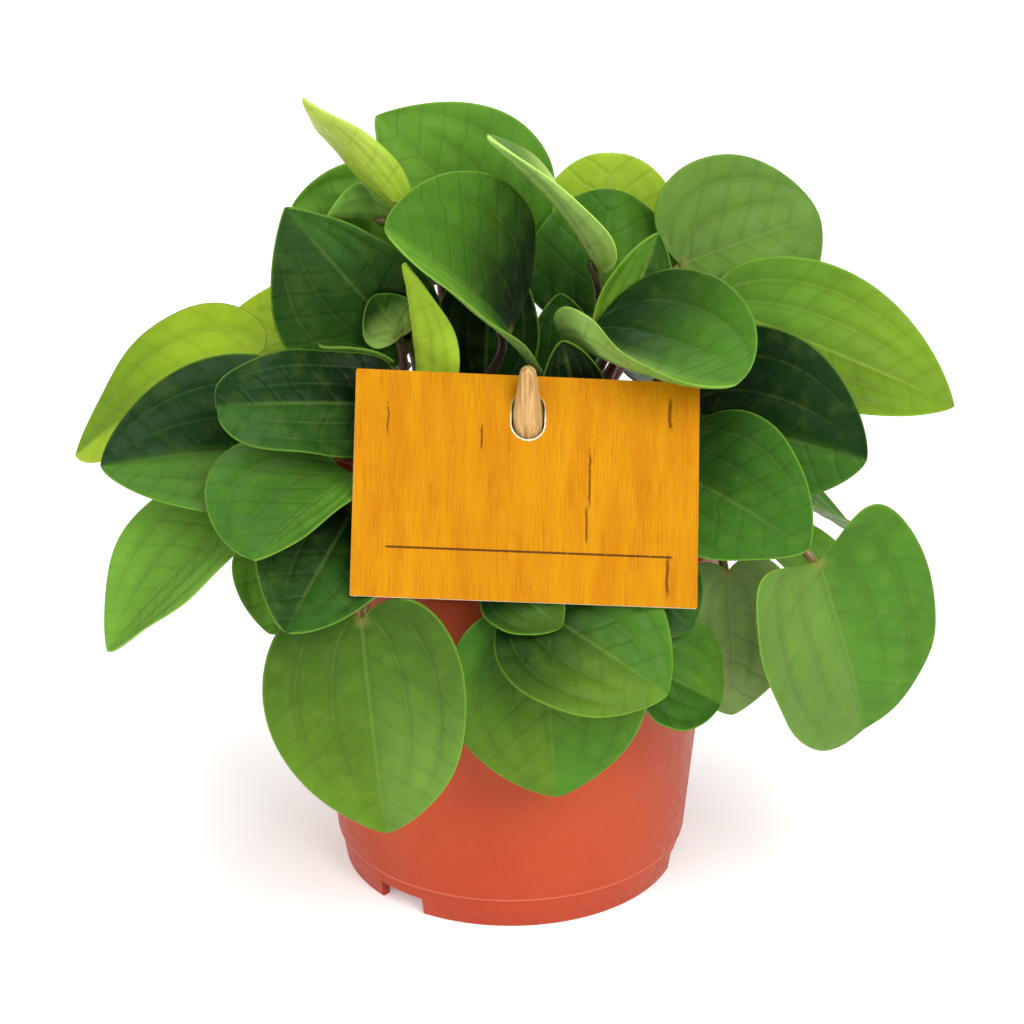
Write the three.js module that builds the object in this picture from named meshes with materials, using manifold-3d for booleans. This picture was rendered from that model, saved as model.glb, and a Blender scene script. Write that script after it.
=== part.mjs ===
// A potted peperomia, in millimetres, +Z up, standing on the foot ring of its pot.
//
// The plant is a dome of thick, broad, pointed leaves. Each leaf is a blade on a slender
// reddish stalk, and the stalks rise from a few short stems rooted in the potting soil.
// A wooden pin stands in the soil near the front rim and carries a plain printed card.
// The viewer's side is -Y, and the plant's left is -X.

import * as THREE from "three";
import Module from "manifold-3d";
import { mergeVertices } from "three/addons/utils/BufferGeometryUtils.js";

const wasm = await Module();
wasm.setup();

// ---------------------------------------------------------------- driving dimensions

const POT_HEIGHT = 105;
const POT_RIM_RADIUS = 60;
const POT_WALL = 1.4;
const POT_BAND_HEIGHT = 17; // the wide band under the rim
const POT_BODY_TOP_RADIUS = 56.5;
const POT_STEP_RADIUS = 49; // where the wall meets the foot, at the fine moulded step
const POT_STEP_HEIGHT = 9.6;
const POT_FOOT_RADIUS = 46.8;
const POT_FLOOR_HEIGHT = 7; // underside of the floor, above the surface it stands on
const POT_LIP = 1.2; // height of the sloped ledge under the band, and of the rounded lip
const POT_BAND_TAPER = 1.4; // how much narrower the band is at its lower edge
const POT_RIM_BEVEL = 0.6;
const POT_SEAM_DEPTH = 0.9;
const POT_SEAM_RISE = 1;
const POT_CORNER = 1; // slope where the wall meets the floor inside
const POT_SIDES = 48;
const NOTCH_COUNT = 3;
const NOTCH_WIDTH = 15;
const NOTCH_HEIGHT = 5.2;
const CUT_DEPTH = 20; // how deep the blocks reach that cut notches and holes
const NOTCH_FIRST_ANGLE = 230; // degrees from +X, anticlockwise seen from above
const DRAIN_HOLES = 6;
const DRAIN_HOLE_RADIUS = 4;
const DRAIN_CIRCLE_RADIUS = 30;

const SOIL_TOP = 94;
const SOIL_EDGE_RADIUS = 58; // inside of the band, where the soil ends
const SOIL_CROWN = 3; // how far the soil rises towards the middle
const GAP = 0.3; // clearance between pieces that touch

const CARD_WIDTH = 89;
const CARD_HEIGHT = 59;
const CARD_THICKNESS = 0.7;
const CARD_LEAN = 35; // degrees back from upright
const CARD_TURN = 7.5; // degrees about the vertical
const CARD_ROLL = 5.5; // degrees clockwise in its own plane
const CARD_HOLE_WIDTH = 8.6;
const CARD_HOLE_LENGTH = 12.4;
const CARD_HOLE_FROM_TOP = 10.5;
const CARD_HANGS_AT = [4.4, -44.7, 150.9]; // the middle of its hole, which the pin passes through

const PIN_LEAN = 10; // degrees that its top leans to the front
const PIN_LENGTH = 118;
const PIN_ABOVE_CARD = 15.1; // from the middle of the card's hole to its tip
const PIN_END_RADIUS = 2;
const PIN_END_TAPER = 8; // length of the taper at the end in the soil
// Its rounded tip: radius, and distance from the very end.
const PIN_TIP = [[0, 0], [1.3, 0.4], [2, 1.5], [2.4, 3.4], [3.2, 9.5], [3.8, 14]];

const BLADE_THICKNESS = 0.8;
const BLADE_ROWS = 8;
const BLADE_COLUMNS = 6;
const FORM_EXTRAS = 12; // how many values of a leaf come before those that only a few leaves have
const SMALL_BLADE = 30; // leaves narrower than this get fewer facets
const WAVES = 2; // ripples from base to tip along the edge of a wavy leaf
const OUTLINE_SKEW = 0.82; // below 1 a blade is widest nearer its base
const LOBE_SPREAD = 1.6; // how much of a base lobe lies near the edge
const LOBE_FADE = 3; // how soon the lobes end, going to the tip
const GATHER_FADE = 1.5; // how soon the cupping at the base ends
const ROW_CROWDING = 1.15; // above 1 the rows of facets are closer near the base
const STALK_RADIUS = 1.5;
const STALK_END_RADIUS = 1.1;
const STALK_SIDES = 5;
const STALK_STEPS = 6;
const STALK_REACH = 3; // how far the stalk runs under the blade
const STALK_GAP = 0.45; // clearance between a stalk and the underside of its blade
const STALK_HANDLE = 14; // how far behind the blade the stalk starts to turn
const STALK_SPREAD = 0.6; // how far outwards a stalk leans where it leaves its stem
const STALK_RISE = 0.5; // how far upwards it leans there, at the least
const STALK_BOW = 0.35; // share of its length that it goes in that direction
const RIM_CLEARING = 2.2; // how much higher a stalk arches, for each mm that it ends below the rim
const RIM_TURN = 0.04; // how much more upright it comes down on its blade, for each such mm
const RIM_TURN_MOST = 0.5;
const LOWEST_STALK = 0.55; // share of the way up a stem where its lowest stalk starts
const HIGHEST_STALK = 0.98;
const STEM_RADIUS = 4.5;
const STEM_TAPER = 0.25;
const STEM_STEPS = 6;
const STEM_SIDES = 8;

// Short stems: where each leaves the soil, and its top.
const STEMS = {
  left: { foot: [-24, -14], top: [-26, -15, 124] },
  right: { foot: [24, -12], top: [27, -13, 124] },
  back_left: { foot: [-16, 20], top: [-17, 22, 134] },
  back_right: { foot: [20, 20], top: [22, 21, 132] },
  front: { foot: [-2, -22], top: [-2, -24, 116] },
};
const STEM_ROOT = 25; // how far each stem stands in the soil

// Leaves: name, stem, height of the stalk's start on the stem (0 low, 1 at its top), base and
// tip of the blade, the way its upper side faces, width, curl from base to tip, fold at the
// midrib, cupping from midrib to edge (degrees), depth of the base lobes as a share of the
// length, and how pointed the outline is (less than 1 is blunter). A few also have how much
// wider one half is than the other, as a share, the height of the ripples of the edge, and how
// much more one half is cupped at the base (degrees). A curl below 0 bends the blade up.
const LEAVES = [
  ["left_pale_outer", "left", 0.5, [-68, 2, 148.6], [-119, 5, 118], [-0.3, -0.3, 1],
    53, 25, 0, 20, 0.5, 0.75, 0.04],
  ["left_pale_inner", "back_left", 0.4, [-48, 26, 138], [-81, 58, 137], [-0.2, -0.6, 1],
    44, 20, 5, 20, 0.5, 0.7],
  ["left_folded", "left", 0.35, [-50, -22, 131.8], [-107, -38, 134], [0, -0.75, 1],
    54, 18, 18, 8, 0.5, 0.7, -0.03],
  ["left_wavy", "left", 0.6, [-31, -33, 149.3], [-75, -54, 157.8], [-0.2, -0.9, 0.7],
    29.5, 15, 0, 6, 0.4, 0.35, 0, 1.6],
  ["left_front", "left", 0.3, [-40, -47, 135.5], [-65.5, -80, 127], [-0.25, -0.45, 1],
    39, 20, 0, 10, 0.4, 0.5, 0.56],
  ["left_long_droop", "left", 0.2, [-68, -42, 124.6], [-105, -60, 91], [-0.6, -0.4, 0.75],
    44, 18, 14, 5, 0.4, 0.85, 0.04],
  ["left_low_behind", "left", 0.1, [-54, -42, 116], [-63, -54, 93], [-0.4, -1, 0.5],
    32, 15, 0, 15, 0.3, 0.7],
  ["front_left_dark", "left", 0.15, [-40.5, -47, 126], [-56.9, -83, 108], [0.1, -0.8, 0.9],
    39, 15, 5, 15, 0.3, 0.7],
  ["front_left_hanging", "left", 0.1, [-38, -73, 107], [-32, -85, 51], [-0.25, -1, 0.35],
    55, 15, 0, 18, 0.7, 0.7],
  ["front_centre_hanging", "right", 0.5, [8, -65, 103], [12, -73, 55], [0, -1, 0.35],
    53, 15, 0, 18, 0.6, 0.7],
  ["front_centre_curled", "front", 0.4, [-4, -62, 113], [13, -74, 105], [0, -1, 0.8],
    22, 30, 0, 20, 0.3, 0.7],
  ["front_right_round", "front", 0.15, [3, -64, 108], [40, -81, 89], [0.15, -1, 0.9],
    46, 20, 0, 20, 0.4, 0.7],
  ["front_right_folded", "right", 0.8, [34.3, -61, 88.3], [55, -59.3, 75], [0.1, -0.7, 0.7],
    32, 10, 15, 10, 0.25, 0.7],
  ["right_grey_hanging", "right", 0.8, [57, -43, 106], [59, -48, 66], [0.3, -1, 0.3],
    36, 15, 5, 15, 0.7, 0.7],
  ["right_big_hanging", "right", 0.65, [79, -60, 117], [94, -50, 62.8], [0.6, -1, 0.2],
    56.5, 15, 5, 12, 0.9, 0.4],
  ["right_front", "right", 0.3, [39.3, -23.9, 128.6], [76.2, -62.9, 121.6], [0.1, -1, 0.75],
    45, 22, 8, 12, 0.25, 0.7, -0.03],
  ["right_dark", "right", 0.45, [48, -14.5, 139], [93.5, -32, 133], [0.1, -1, 0.35],
    47, 15, 5, 10, 0.6, 0.65, -0.2],
  ["right_pale_outer", "right", 0.6, [56, 5, 161], [118, -14, 140.6], [0.3, -1, 0.7],
    40, 25, 5, 12, 0.5, 0.8, -0.08],
  ["right_round_upright", "back_right", 0.7, [46, 20, 168], [84, 30, 179], [0.1, -0.9, 0.6],
    50, 15, 5, 15, 0.6, 0.6],
  ["front_right_boat", "right", 0.7, [18.5, -15, 160.2], [57.5, -50, 162], [0.1, -0.15, 1],
    59, -20, 10, 38, 0.45, 0.45, -0.12, 0, 100],
  ["back_pale_round", "back_right", 0.85, [27, 44, 152], [28, 58, 187], [0, 1, -0.3],
    42, 20, 0, 20, 0.3, 0.45],
  ["back_dark_round", "back_right", 0.5, [23, 30, 147], [28, 36, 184], [0, -1, 0.5],
    43, 15, 0, 20, 0.2, 0.5],
  ["centre_young_streaked", "back_right", 1.0, [26, 0, 149], [39.5, 7, 182], [0.2, -1, 0.2],
    23, 10, 20, 15, 0.3, 0.8],
  ["centre_narrow_edge", "back_right", 0.9, [24, 3, 173], [-6, -18, 218], [0.77, 0.27, 0.58],
    34, 15, 12, 10, 0.1, 0.9],
  ["top_large", "back_left", 0.9, [-2, 27.4, 167.3], [-36, 20, 210.3], [0.2, -0.75, 0.7],
    50, 25, 5, 15, 0.75, 0.85, 0.13],
  ["centre_glossy", "left", 0.9, [0, -13, 160.5], [-32, -40, 200.5], [0.3, -0.6, 1],
    59, 25, 20, 20, 0.25, 0.55, 0.03],
  ["front_small_behind_pin", "front", 0.6, [17.5, -27.5, 146], [13.3, -37.5, 168.8], [0, -1, 0.5],
    17, 15, 5, 15, 0.4, 0.7],
  ["centre_yellow_narrow", "left", 0.8, [-23, -29, 149], [-27, -31, 188], [0.9, 0.5, 0.2],
    26, 10, 20, 15, 0.3, 0.9],
  ["left_dark_upright", "left", 0.7, [-26.7, -8.6, 155.8], [-58.2, -20, 199], [-0.3, -1, 0.4],
    43, 15, 5, 15, 0.5, 0.9, -0.16],
  ["left_small_grey", "left", 0.75, [-29, -14.3, 160.6], [-36, -18, 173.6], [-0.1, -1, 0.7],
    17, 15, 0, 20, 0.3, 0.7],
  ["left_small_edge", "left", 0.65, [-31.5, -21.5, 157.2], [-50, -26, 163.4], [0, 0.3, 1],
    10, 15, 5, 20, 0.4, 0.7],
  ["top_left_pale_pointed", "back_left", 1.0, [-27, -10, 194], [-53, -18, 228], [0.5, 0.7, 0.3],
    23, 10, 10, 15, 0.3, 1.1, 0.3],
  ["top_left_dark", "back_left", 0.8, [-30, 14, 175.5], [-58, 3, 190.5], [-0.1, -0.8, 0.8],
    38, 20, 5, 20, 0.5, 0.7],
  ["top_left_rolled", "back_left", 0.95, [-32, 2, 188], [-48, -6, 192], [0.2, 0.8, 0.3],
    18, 10, 30, 40, 0.2, 0.7],
  ["front_right_tucked", "right", 0.6, [35, -54, 108], [47, -59, 97], [0.1, -1, 0.6],
    24, 15, 0, 15, 0.3, 0.7],
  ["back_left_low", "back_left", 0.2, [-42, 50, 118], [-76, 86, 80], [-0.5, 0.6, 0.9],
    56, 25, 5, 15, 0.6, 0.7],
  ["back_low", "back_left", 0.3, [-2, 66, 112], [2, 90, 56], [0, 1, 0.4],
    56, 20, 5, 15, 0.7, 0.7],
  ["back_right_low", "back_right", 0.2, [44, 54, 116], [82, 82, 78], [0.5, 0.6, 0.9],
    56, 25, 5, 15, 0.6, 0.7],
  ["back_left_middle", "back_left", 0.6, [-28, 50, 134], [-68, 86, 118], [-0.3, 0.6, 1],
    54, 25, 5, 15, 0.6, 0.7],
  ["back_middle", "back_left", 0.7, [8, 52, 132], [10, 90, 104], [0, 0.8, 1],
    54, 25, 5, 15, 0.6, 0.7],
  ["back_right_middle", "back_right", 0.6, [42, 40, 142], [86, 70, 128], [0.4, 0.5, 1],
    52, 25, 5, 15, 0.6, 0.7],
  ["back_top_left", "back_left", 0.9, [-24, 34, 172], [-64, 52, 164], [-0.2, 0.5, 1],
    50, 25, 5, 15, 0.5, 0.7],
  ["back_top", "back_left", 0.95, [-10, 38, 178], [-16, 76, 168], [0, 0.6, 1],
    46, 25, 5, 15, 0.5, 0.7],
  ["back_right_upper", "back_right", 0.8, [48, 36, 154], [88, 48, 150], [0.2, 0.3, 1],
    38, 25, 5, 15, 0.5, 0.7],
  ["side_left_low", "back_left", 0.1, [-62, 10, 118], [-102, 30, 84], [-0.7, 0.3, 0.8],
    52, 25, 5, 15, 0.6, 0.7],
  ["side_right_low", "back_right", 0.1, [64, 14, 108], [102, 30, 78], [0.6, 0.2, 0.8],
    50, 25, 5, 15, 0.6, 0.7],
  ["back_top_right", "back_right", 0.95, [28, 58, 152], [50, 88, 136], [0.1, 0.7, 1],
    42, 25, 5, 15, 0.5, 0.7],
  ["inner_left_dark", "back_left", 0.95, [-7, 6.5, 138], [-5, 2.5, 182], [-0.05, -1, 0.2],
    28.5, 20, 0, 15, 0.3, 0.7],
  ["back_centre", "back_left", 0.8, [-12, 46, 152], [-20, 82, 140], [-0.1, 0.7, 1],
    44, 25, 5, 15, 0.5, 0.7],
  ["side_right_front", "right", 0.5, [71, -22, 105], [98, -29, 77], [0.7, -0.2, 0.8],
    34, 25, 5, 15, 0.5, 0.7],
  ["inner_right_dark", "back_right", 0.7, [14, 8.5, 138], [13.3, 3.5, 166], [0.1, -1, 0.3],
    19.5, 20, 0, 15, 0.3, 0.7],
];

// ---------------------------------------------------------------- closed solids

const radians = THREE.MathUtils.degToRad;

// A closed geometry as a solid for joining and cutting.
function solidOf(geometry) {
  const bare = new THREE.BufferGeometry();
  bare.setAttribute("position", geometry.getAttribute("position"));
  bare.setIndex(geometry.getIndex());
  const merged = mergeVertices(bare, 1e-4);
  const corners = merged.index.array;
  const kept = [];
  for (let i = 0; i < corners.length; i += 3) {
    const [a, b, c] = [corners[i], corners[i + 1], corners[i + 2]];
    if (a !== b && b !== c && a !== c) kept.push(a, b, c);
  }
  const build = (triangles) =>
    new wasm.Manifold(
      new wasm.Mesh({
        numProp: 3,
        vertProperties: merged.attributes.position.array,
        triVerts: new Uint32Array(triangles),
      }),
    );
  const solid = build(kept);
  if (solid.volume() > 0) return solid;
  for (let i = 0; i < kept.length; i += 3) [kept[i + 1], kept[i + 2]] = [kept[i + 2], kept[i + 1]];
  return build(kept);
}

function geometryOf(solid) {
  const mesh = solid.getMesh();
  const points = new Float32Array(mesh.numVert * 3);
  for (let i = 0; i < mesh.numVert; i++) {
    points.set(mesh.vertProperties.subarray(i * mesh.numProp, i * mesh.numProp + 3), i * 3);
  }
  const geometry = new THREE.BufferGeometry();
  geometry.setAttribute("position", new THREE.BufferAttribute(points, 3));
  geometry.setIndex(new THREE.BufferAttribute(mesh.triVerts, 1));
  geometry.computeVertexNormals();
  return geometry;
}

// A profile of [radius, height] points turned about the vertical axis.
function turned(profile, sides) {
  const lathe = new THREE.LatheGeometry(
    profile.map(([radius, height]) => new THREE.Vector2(radius, height)),
    sides,
  );
  return lathe.rotateX(Math.PI / 2);
}

// Rings of points joined into a closed skin, with a fan over each end.
function lofted(rings) {
  const points = [];
  const corners = [];
  const count = rings[0].length;
  for (const ring of rings) for (const p of ring) points.push(p.x, p.y, p.z);
  for (let i = 0; i + 1 < rings.length; i++) {
    for (let j = 0; j < count; j++) {
      const next = (j + 1) % count;
      const [a, b, c, d] = [i * count + j, i * count + next, (i + 1) * count + next, (i + 1) * count + j];
      corners.push(a, b, c, a, c, d);
    }
  }
  for (const [start, flip] of [[0, true], [(rings.length - 1) * count, false]]) {
    for (let j = 1; j + 1 < count; j++) {
      corners.push(start, start + (flip ? j + 1 : j), start + (flip ? j : j + 1));
    }
  }
  const geometry = new THREE.BufferGeometry();
  geometry.setAttribute("position", new THREE.Float32BufferAttribute(points, 3));
  geometry.setIndex(corners);
  return geometry;
}

// A round rod along a curve, its radius given at each share of the way.
function rod(curve, radiusAt, steps, sides) {
  const { normals, binormals } = curve.computeFrenetFrames(steps, false);
  const rings = [];
  for (let i = 0; i <= steps; i++) {
    const centre = curve.getPoint(i / steps);
    const radius = radiusAt(i / steps);
    rings.push(
      Array.from({ length: sides }, (_, j) => {
        const angle = (2 * Math.PI * j) / sides;
        return centre
          .clone()
          .addScaledVector(normals[i], radius * Math.cos(angle))
          .addScaledVector(binormals[i], radius * Math.sin(angle));
      }),
    );
  }
  return lofted(rings);
}

// ---------------------------------------------------------------- pot and soil

function wallRadius(height) {
  const share = (height - POT_STEP_HEIGHT) / (POT_HEIGHT - POT_BAND_HEIGHT - POT_STEP_HEIGHT);
  return POT_STEP_RADIUS + (POT_BODY_TOP_RADIUS - POT_STEP_RADIUS) * share;
}

function potSolid() {
  const bandFoot = POT_HEIGHT - POT_BAND_HEIGHT;
  const outside = [
    [POT_FOOT_RADIUS, 0],
    [POT_STEP_RADIUS - POT_SEAM_DEPTH, POT_STEP_HEIGHT - POT_SEAM_RISE],
    [POT_STEP_RADIUS, POT_STEP_HEIGHT],
    [wallRadius(bandFoot), bandFoot],
    [POT_RIM_RADIUS - POT_BAND_TAPER, bandFoot + POT_LIP],
    [POT_RIM_RADIUS, POT_HEIGHT - POT_LIP],
    [POT_RIM_RADIUS - POT_RIM_BEVEL, POT_HEIGHT],
  ];
  const inside = [
    [POT_RIM_RADIUS - POT_WALL - POT_RIM_BEVEL, POT_HEIGHT],
    [POT_RIM_RADIUS - POT_WALL - POT_BAND_TAPER, bandFoot + POT_LIP],
    [wallRadius(bandFoot) - POT_WALL, bandFoot],
    [POT_STEP_RADIUS - POT_WALL, POT_STEP_HEIGHT],
    [POT_STEP_RADIUS - POT_WALL - POT_CORNER, POT_FLOOR_HEIGHT + POT_WALL],
    [0, POT_FLOOR_HEIGHT + POT_WALL],
    [0, POT_FLOOR_HEIGHT],
    [POT_FOOT_RADIUS - 2 * POT_WALL, POT_FLOOR_HEIGHT],
    [POT_FOOT_RADIUS - 2 * POT_WALL, 0],
  ];
  let pot = solidOf(turned([...outside, ...inside, outside[0]], POT_SIDES));
  for (let i = 0; i < NOTCH_COUNT; i++) {
    const notch = new THREE.BoxGeometry(CUT_DEPTH, NOTCH_WIDTH, 2 * NOTCH_HEIGHT);
    notch.translate(POT_FOOT_RADIUS, 0, 0);
    notch.rotateZ(radians(NOTCH_FIRST_ANGLE + (360 / NOTCH_COUNT) * i));
    pot = pot.subtract(solidOf(notch));
  }
  for (let i = 0; i < DRAIN_HOLES; i++) {
    const hole = new THREE.CylinderGeometry(DRAIN_HOLE_RADIUS, DRAIN_HOLE_RADIUS, CUT_DEPTH, 12);
    hole.rotateX(Math.PI / 2);
    hole.translate(DRAIN_CIRCLE_RADIUS, 0, POT_FLOOR_HEIGHT);
    hole.rotateZ(radians((360 / DRAIN_HOLES) * i));
    pot = pot.subtract(solidOf(hole));
  }
  return pot;
}

function stemCurve(stem, clearance) {
  const [x, y] = stem.foot;
  const foot = new THREE.Vector3(x, y, SOIL_TOP - STEM_ROOT - clearance);
  const collar = new THREE.Vector3(x, y, SOIL_TOP + SOIL_CROWN);
  return new THREE.CatmullRomCurve3([foot, collar, new THREE.Vector3(...stem.top)]);
}

function soilSolid() {
  const bandFoot = POT_HEIGHT - POT_BAND_HEIGHT;
  const inset = POT_WALL + GAP;
  let soil = solidOf(
    turned(
      [
        [0, POT_FLOOR_HEIGHT + POT_WALL + GAP],
        [POT_STEP_RADIUS - inset - POT_CORNER, POT_FLOOR_HEIGHT + POT_WALL + GAP],
        [POT_STEP_RADIUS - inset, POT_STEP_HEIGHT + GAP],
        [wallRadius(bandFoot) - inset, bandFoot],
        [SOIL_EDGE_RADIUS - inset, SOIL_TOP],
        [SOIL_EDGE_RADIUS / 2, SOIL_TOP + SOIL_CROWN * 0.8],
        [0, SOIL_TOP + SOIL_CROWN],
      ],
      POT_SIDES / 2,
    ),
  );
  for (const stem of Object.values(STEMS)) {
    const hole = rod(stemCurve(stem, GAP), () => STEM_RADIUS + GAP, STEM_STEPS, STEM_SIDES);
    soil = soil.subtract(solidOf(hole));
  }
  return soil.subtract(solidOf(pinShape(GAP)));
}

// ---------------------------------------------------------------- pin and card

// The pin, made larger all round by the clearance when it is used to cut its hole.
function pinShape(clearance) {
  const [x, y, z] = CARD_HANGS_AT;
  const tip = PIN_TIP.map(([radius, down]) => [
    radius ? radius + clearance : 0,
    PIN_ABOVE_CARD - down + (down ? 0 : clearance),
  ]);
  const [shank] = tip.at(-1);
  const end = PIN_ABOVE_CARD - PIN_LENGTH - clearance;
  const profile = [
    [0, end],
    [PIN_END_RADIUS + clearance, end],
    [shank, end + PIN_END_TAPER],
    ...tip.reverse(),
  ];
  return turned(profile, 16).rotateX(radians(PIN_LEAN)).translate(x, y, z);
}

// The card lies in its own XZ plane with the hole's centre at the origin, then it is
// rolled, leant back and turned about that point, which the pin passes through.
function placeOnPin(geometry) {
  geometry.rotateY(radians(CARD_ROLL));
  geometry.rotateX(radians(-CARD_LEAN));
  geometry.rotateZ(radians(CARD_TURN));
  return geometry.translate(...CARD_HANGS_AT);
}

function cardSolid() {
  const top = CARD_HOLE_FROM_TOP;
  const left = -CARD_WIDTH / 2;
  const outline = new THREE.Shape();
  outline.moveTo(left, top);
  outline.lineTo(left, top - CARD_HEIGHT);
  outline.lineTo(-left, top - CARD_HEIGHT);
  outline.lineTo(-left, top);
  outline.closePath();
  const slot = new THREE.Path();
  const end = CARD_HOLE_WIDTH / 2;
  const reach = CARD_HOLE_LENGTH / 2 - end;
  slot.absarc(0, reach, end, 0, Math.PI, false);
  slot.absarc(0, -reach, end, Math.PI, 2 * Math.PI, false);
  outline.holes.push(slot);
  const card = new THREE.ExtrudeGeometry(outline, {
    depth: CARD_THICKNESS,
    bevelEnabled: false,
    curveSegments: 6,
  });
  card.rotateX(Math.PI / 2);
  return solidOf(placeOnPin(card));
}

// ---------------------------------------------------------------- leaves

// Half-width of the blade, as a share of its full half-width, at a share v of its length.
function halfWidthAt(v, point) {
  return Math.sin(Math.PI * v ** OUTLINE_SKEW) ** point;
}

// How far behind its midrib point the edge of a row lies, as a share of the length.
function lobeAt(v, lobe) {
  return lobe * Math.sqrt(v) * (1 - v) ** LOBE_FADE;
}

// Everything that a blade's surface is worked out from.
function bladeFrame(leaf) {
  const [, , , base, tip, face, width, curl, fold, cup, lobe, point] = leaf;
  const [uneven = 0, wave = 0, gather = 0] = leaf.slice(FORM_EXTRAS);
  const start = new THREE.Vector3(...base);
  const along = new THREE.Vector3(...tip).sub(start);
  const chord = along.length();
  along.normalize();
  const up = new THREE.Vector3(...face);
  up.addScaledVector(along, -up.dot(along)).normalize();
  const side = new THREE.Vector3().crossVectors(along, up);
  const bend = radians(curl);
  return {
    start,
    along,
    up,
    side,
    bend,
    length: (chord * (bend / 2)) / Math.sin(bend / 2),
    half: width / 2,
    fold: radians(fold),
    cup: radians(Math.max(cup, 0.1)),
    lobe,
    point,
    uneven,
    wave,
    gather: radians(gather),
  };
}

// The point at share v of the length and share t (-1 to 1) of the half-width, raised by lift.
function bladePoint(blade, v, t, lift) {
  const { start, along, up, side, bend, length, half, fold, lobe, point, uneven, wave } = blade;
  const cup = blade.cup + (t > 0 ? blade.gather * (1 - v) ** GATHER_FADE : 0);
  const row = length * (v - lobeAt(v, lobe) * Math.abs(t) ** LOBE_SPREAD);
  const arc = Math.max(row, 0);
  const slope = bend / 2 - (bend * arc) / length;
  const centre = start
    .clone()
    .addScaledVector(along, (length / bend) * (Math.sin(bend / 2) - Math.sin(slope)))
    .addScaledVector(up, (length / bend) * (Math.cos(slope) - Math.cos(bend / 2)));
  const forward = along.clone().multiplyScalar(Math.cos(slope)).addScaledVector(up, Math.sin(slope));
  const normal = up.clone().multiplyScalar(Math.cos(slope)).addScaledVector(along, -Math.sin(slope));
  if (row < 0) centre.addScaledVector(forward, row);
  const reach = half * (1 + uneven * Math.sign(t)) * halfWidthAt(v, point) * Math.abs(t);
  const tilt = fold + (cup * reach) / half;
  const out = ((Math.sin(tilt) - Math.sin(fold)) * half) / cup;
  const ripple = wave * Math.sin(2 * Math.PI * WAVES * v) * t * t;
  const rise = ((Math.cos(fold) - Math.cos(tilt)) * half) / cup + ripple;
  const hand = Math.sign(t);
  return centre
    .addScaledVector(side, hand * (out - lift * Math.sin(tilt)))
    .addScaledVector(normal, rise + lift * Math.cos(tilt));
}

// A closed blade: an upper and a lower skin that meet round the edge.
function bladeGeometry(blade) {
  const points = [];
  const corners = [];
  const small = 2 * blade.half < SMALL_BLADE;
  const rowCount = BLADE_ROWS - (small ? 2 : 0);
  const columnCount = BLADE_COLUMNS - (small ? 2 : 0);
  const put = (p) => points.push(p.x, p.y, p.z) / 3 - 1;
  const skins = [BLADE_THICKNESS / 2, -BLADE_THICKNESS / 2].map((lift) => {
    const first = put(bladePoint(blade, 0, 0, lift));
    const rows = [];
    for (let i = 1; i < rowCount; i++) {
      const v = (i / rowCount) ** ROW_CROWDING;
      const row = [];
      for (let j = 0; j <= columnCount; j++) {
        row.push(put(bladePoint(blade, v, (2 * j) / columnCount - 1, lift)));
      }
      rows.push(row);
    }
    return { first, rows, last: put(bladePoint(blade, 1, 0, lift)) };
  });
  const face = (flip, a, b, c) => corners.push(a, flip ? c : b, flip ? b : c);
  skins.forEach(({ first, rows, last }, which) => {
    const flip = which === 1;
    for (let j = 0; j < columnCount; j++) {
      face(flip, first, rows[0][j + 1], rows[0][j]);
      face(flip, last, rows.at(-1)[j], rows.at(-1)[j + 1]);
      for (let i = 0; i + 1 < rows.length; i++) {
        const [a, b, c, d] = [rows[i][j], rows[i][j + 1], rows[i + 1][j + 1], rows[i + 1][j]];
        if (j < columnCount / 2) {
          face(flip, a, b, c);
          face(flip, a, c, d);
        } else {
          face(flip, a, b, d);
          face(flip, b, c, d);
        }
      }
    }
  });
  const [upper, lower] = skins;
  for (const [column, flip] of [[0, false], [columnCount, true]]) {
    const top = [upper.first, ...upper.rows.map((row) => row[column]), upper.last];
    const bottom = [lower.first, ...lower.rows.map((row) => row[column]), lower.last];
    for (let i = 0; i + 1 < top.length; i++) {
      face(flip, top[i], top[i + 1], bottom[i + 1]);
      face(flip, top[i], bottom[i + 1], bottom[i]);
    }
  }
  const geometry = new THREE.BufferGeometry();
  geometry.setAttribute("position", new THREE.Float32BufferAttribute(points, 3));
  geometry.setIndex(corners);
  return geometry;
}

// A stalk leaves its stem outwards, arches over, and runs under the blade along the midrib.
// One that ends below the rim comes down on it from higher up, so that it clears the pot.
function stalkCurve(leaf, blade) {
  const [, stemName, height] = leaf;
  const share = LOWEST_STALK + (HIGHEST_STALK - LOWEST_STALK) * height;
  const root = stemCurve(STEMS[stemName], 0).getPoint(share);
  const drop = BLADE_THICKNESS / 2 + STALK_GAP + STALK_END_RADIUS;
  const end = bladePoint(blade, STALK_REACH / blade.length, 0, -drop);
  const behind = bladePoint(blade, 0, 0, -drop).sub(end).normalize();
  const distance = end.distanceTo(root);
  const outwards = new THREE.Vector3(end.x - root.x, end.y - root.y, 0).setLength(STALK_SPREAD);
  outwards.z = STALK_RISE + Math.max((end.z - root.z) / distance, 0);
  const belowRim = Math.max(POT_HEIGHT - end.z, 0);
  behind.z += Math.min(belowRim * RIM_TURN, RIM_TURN_MOST);
  return new THREE.CubicBezierCurve3(
    root,
    root.clone().addScaledVector(outwards.normalize(), distance * STALK_BOW),
    end.clone().addScaledVector(behind.normalize(), STALK_HANDLE + RIM_CLEARING * belowRim),
    end,
  );
}

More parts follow.
